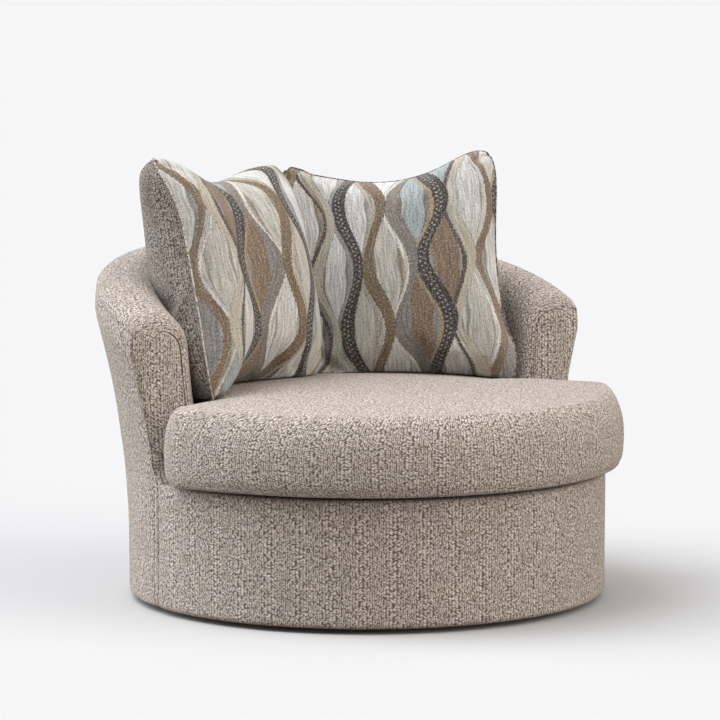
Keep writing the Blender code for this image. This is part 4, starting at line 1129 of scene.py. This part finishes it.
def inflate(obj, held):
    # fills the cloth with air for a few frames, so that it draws smooth and puckers at its seam
    scene = bpy.context.scene
    group = obj.vertex_groups.new(name="held")
    group.add(held, 1.0, "REPLACE")
    cloth = obj.modifiers.new("padding", "CLOTH")
    settings = cloth.settings
    settings.quality = 6
    settings.mass = 0.25
    settings.tension_stiffness = settings.compression_stiffness = 22
    settings.shear_stiffness = 8
    settings.bending_stiffness = 0.8
    settings.use_pressure = True
    settings.uniform_pressure_force = pillowCut["pressure"]
    settings.shrink_min = -0.05
    settings.effector_weights.gravity = 0
    settings.vertex_group_mass = "held"
    cloth.collision_settings.use_collision = False
    cloth.point_cache.frame_start, cloth.point_cache.frame_end = 1, pillowCut["frames"]
    for frame in range(1, pillowCut["frames"] + 1):
        scene.frame_set(frame)
    graph = bpy.context.evaluated_depsgraph_get()
    moved = [v.co.copy() for v in obj.evaluated_get(graph).data.vertices]
    obj.modifiers.remove(cloth)
    obj.vertex_groups.remove(group)
    scene.frame_set(1)
    for vertex, spot in zip(obj.data.vertices, moved):
        move = spot - vertex.co
        if move.length > pillowCut["cap"]:
            move *= pillowCut["cap"] / move.length
        vertex.co += move


def pillowWeave(at):
    # lays one side's weave out by the cage's lengths from its middle lines
    count = pillowCut["grid"]
    middle = count // 2
    laid = {(i, j): [0.0, 0.0] for i in range(count + 1) for j in range(count + 1)}
    for j in range(count + 1):
        for side in (-1, 1):
            wide = tall = 0.0
            for step in range(1, middle + 1):
                i = middle + side * step
                wide += (at(i, j) - at(i - side, j)).length
                tall += (at(j, i) - at(j, i - side)).length
                laid[(i, j)][0] = side * wide
                laid[(j, i)][1] = side * tall
    return laid


def makePillow(size, front, back, obstacles, cushion):
    count = pillowCut["grid"]
    steps = [math.sin(quarter * (2 * i / count - 1)) for i in range(count + 1)]
    points, index = [], {}

    def keyOf(face, i, j):
        # points on the rim belong to both sides
        return (0 if i in (0, count) or j in (0, count) else face, i, j)

    faces, sides, corners = [], [], []
    for face in (-1, 1):
        for i, s in enumerate(steps):
            for j, t in enumerate(steps):
                key = keyOf(face, i, j)
                if key not in index:
                    index[key] = len(points)
                    points.append(pillowToWorld(size, *pillowPoint(size, s, t, key[0])))
    for face in (-1, 1):
        for i in range(count):
            for j in range(count):
                quad = [(i, j), (i + 1, j), (i + 1, j + 1), (i, j + 1)]
                if face > 0:
                    quad.reverse()
                faces.append([index[keyOf(face, a, b)] for a, b in quad])
                corners.append(quad)
                sides.append(face)
    lean = math.copysign(1, size["turn"])
    seatOn(points, cushion)
    pressOut(points, faces, obstacles, lean)
    settle(points, cushion)
    mesh = bpy.data.meshes.new(size["name"] + "_padded")
    mesh.from_pydata(points, [], faces)
    obj = linkObject(size["name"] + "_padded", mesh)
    wear(obj, front, back)
    layer = mesh.uv_layers.new(name="weave")
    laid = {face: pillowWeave(lambda i, j: points[index[keyOf(face, i, j)]]) for face in (-1, 1)}
    for polygon, quad, face in zip(mesh.polygons, corners, sides):
        for loop, corner in zip(polygon.loop_indices, quad):
            layer.data[loop].uv = laid[face][corner]
        polygon.material_index = 0 if face < 0 else 1
    seam = obj.vertex_groups.new(name="seam")
    rims = {i for (face, _, _), i in index.items() if face == 0}
    seam.add(sorted(rims), 1.0, "REPLACE")
    crease = mesh.attributes.new("crease_edge", "FLOAT", "EDGE")
    bySide = {}
    for polygon, face in zip(mesh.polygons, sides):
        for key in polygon.edge_keys:
            bySide.setdefault(tuple(sorted(key)), set()).add(face)
    for edge in mesh.edges:
        if bySide[tuple(sorted(edge.vertices))] == {-1, 1} and set(edge.vertices) <= rims:
            crease.data[edge.index].value = pillowCut["crease"]
    finishModifier(obj, "smooth", "SUBSURF", levels=2, render_levels=2)
    held = []
    for vertex in obj.data.vertices:
        near = min(tree.find_nearest(vertex.co)[3] for tree in obstacles)
        if near < pillowCut["holdNear"] or abs(vertex.co.x) < pillowCut["holdMiddle"]:
            held.append(vertex.index)
    inflate(obj, held)
    finishModifier(obj, "smooth", "SUBSURF", levels=1, render_levels=1)
    for vertex in obj.data.vertices:
        spot = vertex.co.copy()
        for tree in obstacles:
            spot += pushOut(spot, tree)
        keepSide([spot], lean)
        vertex.co = spot
    smoothShade(obj, 70)
    return obj


def seamLoop(obj):
    # the seam's points in order round the pillow
    group = obj.vertex_groups["seam"].index
    onSeam = set()
    for vertex in obj.data.vertices:
        for entry in vertex.groups:
            if entry.group == group and entry.weight > 0.999:
                onSeam.add(vertex.index)
    after = {vertex: [] for vertex in onSeam}
    for edge in obj.data.edges:
        a, b = edge.vertices
        if a in onSeam and b in onSeam:
            after[a].append(b)
            after[b].append(a)
    loop, last = [min(onSeam)], None
    while len(loop) < len(onSeam):
        here = loop[-1]
        loop.append(next(v for v in after[here] if v != last))
        last = here
    return [obj.data.vertices[i].co.copy() for i in loop]


def makeWelt(name, path, radius, material):
    # a thin twisted cord along the seam, swelling once for each turn of its twist
    closed = path + path[:1]
    lengths = runningLengths(closed)
    swell = pillowCut["twistSwell"]
    count = int(lengths[-1] / pillowCut["twist"]) * len(swell)
    curve = bpy.data.curves.new(name, "CURVE")
    curve.dimensions = "3D"
    curve.bevel_depth = radius
    curve.bevel_resolution = 1
    spline = curve.splines.new("POLY")
    spline.points.add(count - 1)
    spline.use_cyclic_u = True
    at = 0
    for i in range(count):
        want = lengths[-1] * i / count
        while lengths[at + 1] < want:
            at += 1
        share = (want - lengths[at]) / (lengths[at + 1] - lengths[at])
        spline.points[i].co = (*closed[at].lerp(closed[at + 1], share), 1)
        spline.points[i].radius = swell[i % len(swell)]
    makeActive(linkObject(name, curve))
    bpy.ops.object.convert(target="MESH")
    obj = bpy.context.object
    wear(obj, material)
    smoothShade(obj, 80)
    return obj


def cordMaterial(name, dark, light, share):
    # twisted cotton cord: light and dark turns of yarn, about 5 mm long
    material, shader, add = newMaterial(name)
    place = add("TexCoord").outputs["Object"]
    turns = add("TexVoronoi", {"Vector": place, "Scale": 210.0, "Randomness": 1.0})
    pick = add("SeparateColor", [turns.outputs["Color"]])
    lit = add("MapRange", (pick, share, share + 0.15))
    cloth = add("Mix", {0: lit, 6: dark, 7: light}, data_type="RGBA")
    bump = add("Bump", {"Strength": 0.5, "Distance": 0.0006, "Height": turns.outputs["Distance"]})
    feed(shader, {"Base Color": cloth, "Normal": bump, "Roughness": 0.85, "Sheen Weight": 0.2,
                  "Sheen Roughness": 0.5})
    return material


paleCord = cordMaterial("twisted_cord_pale", "8F857B", "D3CBC2", 0.35)
darkCord = cordMaterial("twisted_cord_dark", "4A4442", "A39B92", 0.60)
cushionTree = nodeTree("seat_cushion")
barrelTree = nodeTree("inside_back_cover")
for size, front, cord in ((leftPillow, leftRibbonCloth, paleCord),
                          (rightPillow, rightRibbonCloth, darkCord)):
    pillow = makePillow(size, front, paintedShadeChenille, [barrelTree, cushionTree], cushionTree)
    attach(pillow, size["name"])
    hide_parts(size["name"])
    welt = makeWelt(size["name"] + "_welt", seamLoop(pillow), size["welt"], cord)
    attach(welt, size["name"])
print("pillows made")


# Finishes of the pieces inside and underneath

def grainMaterial(name, light, dark, scale, roughness, stretch):
    # sawn wood or pressed board: streaks along one way, flat and dry
    material, shader, add = newMaterial(name)
    place = add("TexCoord").outputs["Object"]
    turned = add("Mapping", {0: place, "Scale": stretch})
    grain = add("TexNoise", {"Vector": turned, "Scale": scale, "Detail": 5.0, "Roughness": 0.6,
                             "Distortion": 0.4})
    shade = add("MapRange", (grain, 0.32, 0.68))
    wood = add("Mix", {0: shade, 6: dark, 7: light}, data_type="RGBA")
    bump = add("Bump", {"Strength": 0.25, "Distance": 0.0005, "Height": grain})
    feed(shader, {"Base Color": wood, "Normal": bump, "Roughness": roughness})
    return material


def plainMaterial(name, light, dark, scale, roughness, metallic=0.0, bumpDepth=0.0003):
    # a finish with fine mottling in its colour and a fine bump
    material, shader, add = newMaterial(name)
    place = add("TexCoord").outputs["Object"]
    mottle = add("TexNoise", {"Vector": place, "Scale": scale, "Detail": 4.0})
    shade = add("MapRange", (mottle, 0.35, 0.65))
    finish = add("Mix", {0: shade, 6: dark, 7: light}, data_type="RGBA")
    rough = add("MapRange", (mottle, 0.3, 0.7, roughness - 0.06, roughness + 0.06))
    bump = add("Bump", {"Strength": 0.3, "Distance": bumpDepth, "Height": mottle})
    feed(shader, {"Base Color": finish, "Normal": bump, "Roughness": rough, "Metallic": metallic})
    return material


# birch plywood, sanded: pale, its plies as level lines, drawn about 8 mm apart so that they show
birchPlywood = grainMaterial("birch_plywood", "CDB083", "A98A5C", 9.0, 0.62, (1, 1, 14))
# planed hardwood: warm brown, with streaks about 12 mm wide along the board
hardwood = grainMaterial("planed_hardwood", "B08A5B", "83603A", 7.0, 0.55, (1.5, 12, 12))
# pressed fibreboard: dull brown, mottled by fibres about 4 mm long
fibreboard = plainMaterial("pressed_fibreboard", "8E7048", "6B5233", 260.0, 0.8)
# cut polyurethane foam: cream and chalky, its pores drawn at 2.6 mm so that they show
cutFoam = plainMaterial("cut_foam", "E6D9B4", "CDBE96", 380.0, 0.95, bumpDepth=0.0008)
# non-woven polypropylene: flat black, with a fleck of 1.4 mm
blackCloth = plainMaterial("black_non_woven_cloth", "2B2B2D", "19191B", 700.0, 0.9)
# powder coat on steel: satin black with an orange peel of 2 mm; it is paint, so it isn't metallic
blackSteel = plainMaterial("powder_coated_steel", "232326", "17171A", 500.0, 0.45)
# zinc-plated steel: bright cool metal, with soft blotches of 17 mm
zincSteel = plainMaterial("zinc_plated_steel", "B9BABD", "96989C", 60.0, 0.32, metallic=1.0)
# moulded nylon: near black with a low sheen, mottled at about 3 mm
blackPlastic = plainMaterial("moulded_black_plastic", "222222", "161616", 300.0, 0.5)
# polyester decking: grey brown and dull, its weave drawn at 2 mm so that it shows
deckCloth = plainMaterial("decking_cloth", "6F675E", "544D46", 500.0, 0.92, bumpDepth=0.0006)

# starts of the names of the CAD nodes that each finish goes on
nodeFinishes = [
    (blackPlastic, ("glide_",)),
    (blackSteel, ("floor_ring", "base_spider")),
    (zincSteel, ("lower_bearing", "upper_bearing", "ball_cage", "centre_rivet", "mounting_bolt",
                 "seat_spring")),
    (hardwood, ("mount_rail", "drum_post", "back_slat", "top_rail")),
    (birchPlywood, ("bottom_ring", "seat_ring", "front_board", "arm_board")),
    (fibreboard, ("outside_back_board",)),
    (cutFoam, ("back_foam", "arm_pad", "deck_pad")),
    (deckCloth, ("deck_cloth",)),
    (blackCloth, ("dust_cover",)),
]
for name, node in nodes.items():
    for finish, starts in nodeFinishes:
        if name.startswith(starts):
            wear(node, finish)
print("carried-over nodes finished")


# Studio: floor, lights and camera

studio = {
    "background": "F4F4F5",
    "floor": "C6C6C8",         # under the lamps it comes out as pale as the background
    "floorBounce": "8A857E",
    "worldStrength": 0.30,
    "worldColour": (1.0, 0.965, 0.91, 1.0),
    # name, strength, softness, heading, height above the floor, all angles in degrees, colour
    "lamps": [
        ("key_light", 2.15, 50, -115, 60, (0.95, 0.975, 1.0)),
        ("top_light", 1.1, 80, 0, 88, (0.96, 0.98, 1.0)),
        ("side_light", 1.9, 40, -130, 20, (0.98, 0.985, 1.0)),
        ("fill_light", 2.1, 60, 40, 20, (1.0, 0.935, 0.85)),
    ],
    "cameraDistance": 8.0,
    "cameraHeading": math.radians(-30),
    "cameraHeight": 1.40,
    "cameraPitch": math.radians(6.42),
    "lens": 169.9,
    "shift": (-0.0097, 0.0326),
}

world = bpy.data.worlds.new("studio")
bpy.context.scene.world = world
world.use_nodes = True
world.node_tree.nodes.clear()
add = partial(addNode, world.node_tree)
ray = add("LightPath").outputs
seen = add("Math", (ray["Is Camera Ray"], ray["Is Glossy Ray"]), operation="MAXIMUM")
seen = add("Math", (seen, ray["Is Transmission Ray"]), operation="MAXIMUM")
lit = add("Background", {"Color": studio["worldColour"], "Strength": studio["worldStrength"]})
shown = add("Background", {"Color": studio["background"], "Strength": 1.0})
mix = add("MixShader", (seen, lit, shown))
add("OutputWorld", [mix])

deselectAll()
bpy.ops.mesh.primitive_plane_add(size=4000, location=(0, 0, 0))
floor = bpy.context.object
floor.name = "studio_floor"
# matt paper: no gloss, so that it takes only the shadow
floorMaterial, shader, add = newMaterial("matt_studio_paper")
toCamera = add("LightPath").outputs["Is Camera Ray"]
paper = add("Mix", {0: toCamera, 6: studio["floorBounce"], 7: studio["floor"]}, data_type="RGBA")
feed(shader, {"Base Color": paper, "Roughness": 1.0, "Specular IOR Level": 0.0})
wear(floor, floorMaterial)

for name, strength, softness, heading, height, colour in studio["lamps"]:
    deselectAll()
    bpy.ops.object.light_add(type="SUN", rotation=(math.radians(90 - height), 0, math.radians(heading)))
    sun = bpy.context.object
    sun.name = name
    sun.data.energy = strength
    sun.data.angle = math.radians(softness)
    sun.data.color = colour

deselectAll()
distance, heading = studio["cameraDistance"], studio["cameraHeading"]
place = (math.sin(heading) * distance, -math.cos(heading) * distance, studio["cameraHeight"])
bpy.ops.object.camera_add(location=place, rotation=(quarter - studio["cameraPitch"], 0, heading))
camera = bpy.context.object
camera.data.sensor_width = 36
camera.data.lens = studio["lens"]
camera.data.shift_x, camera.data.shift_y = studio["shift"]
bpy.context.scene.camera = camera
bpy.context.scene.view_settings.view_transform = "Standard"
print("studio ready")
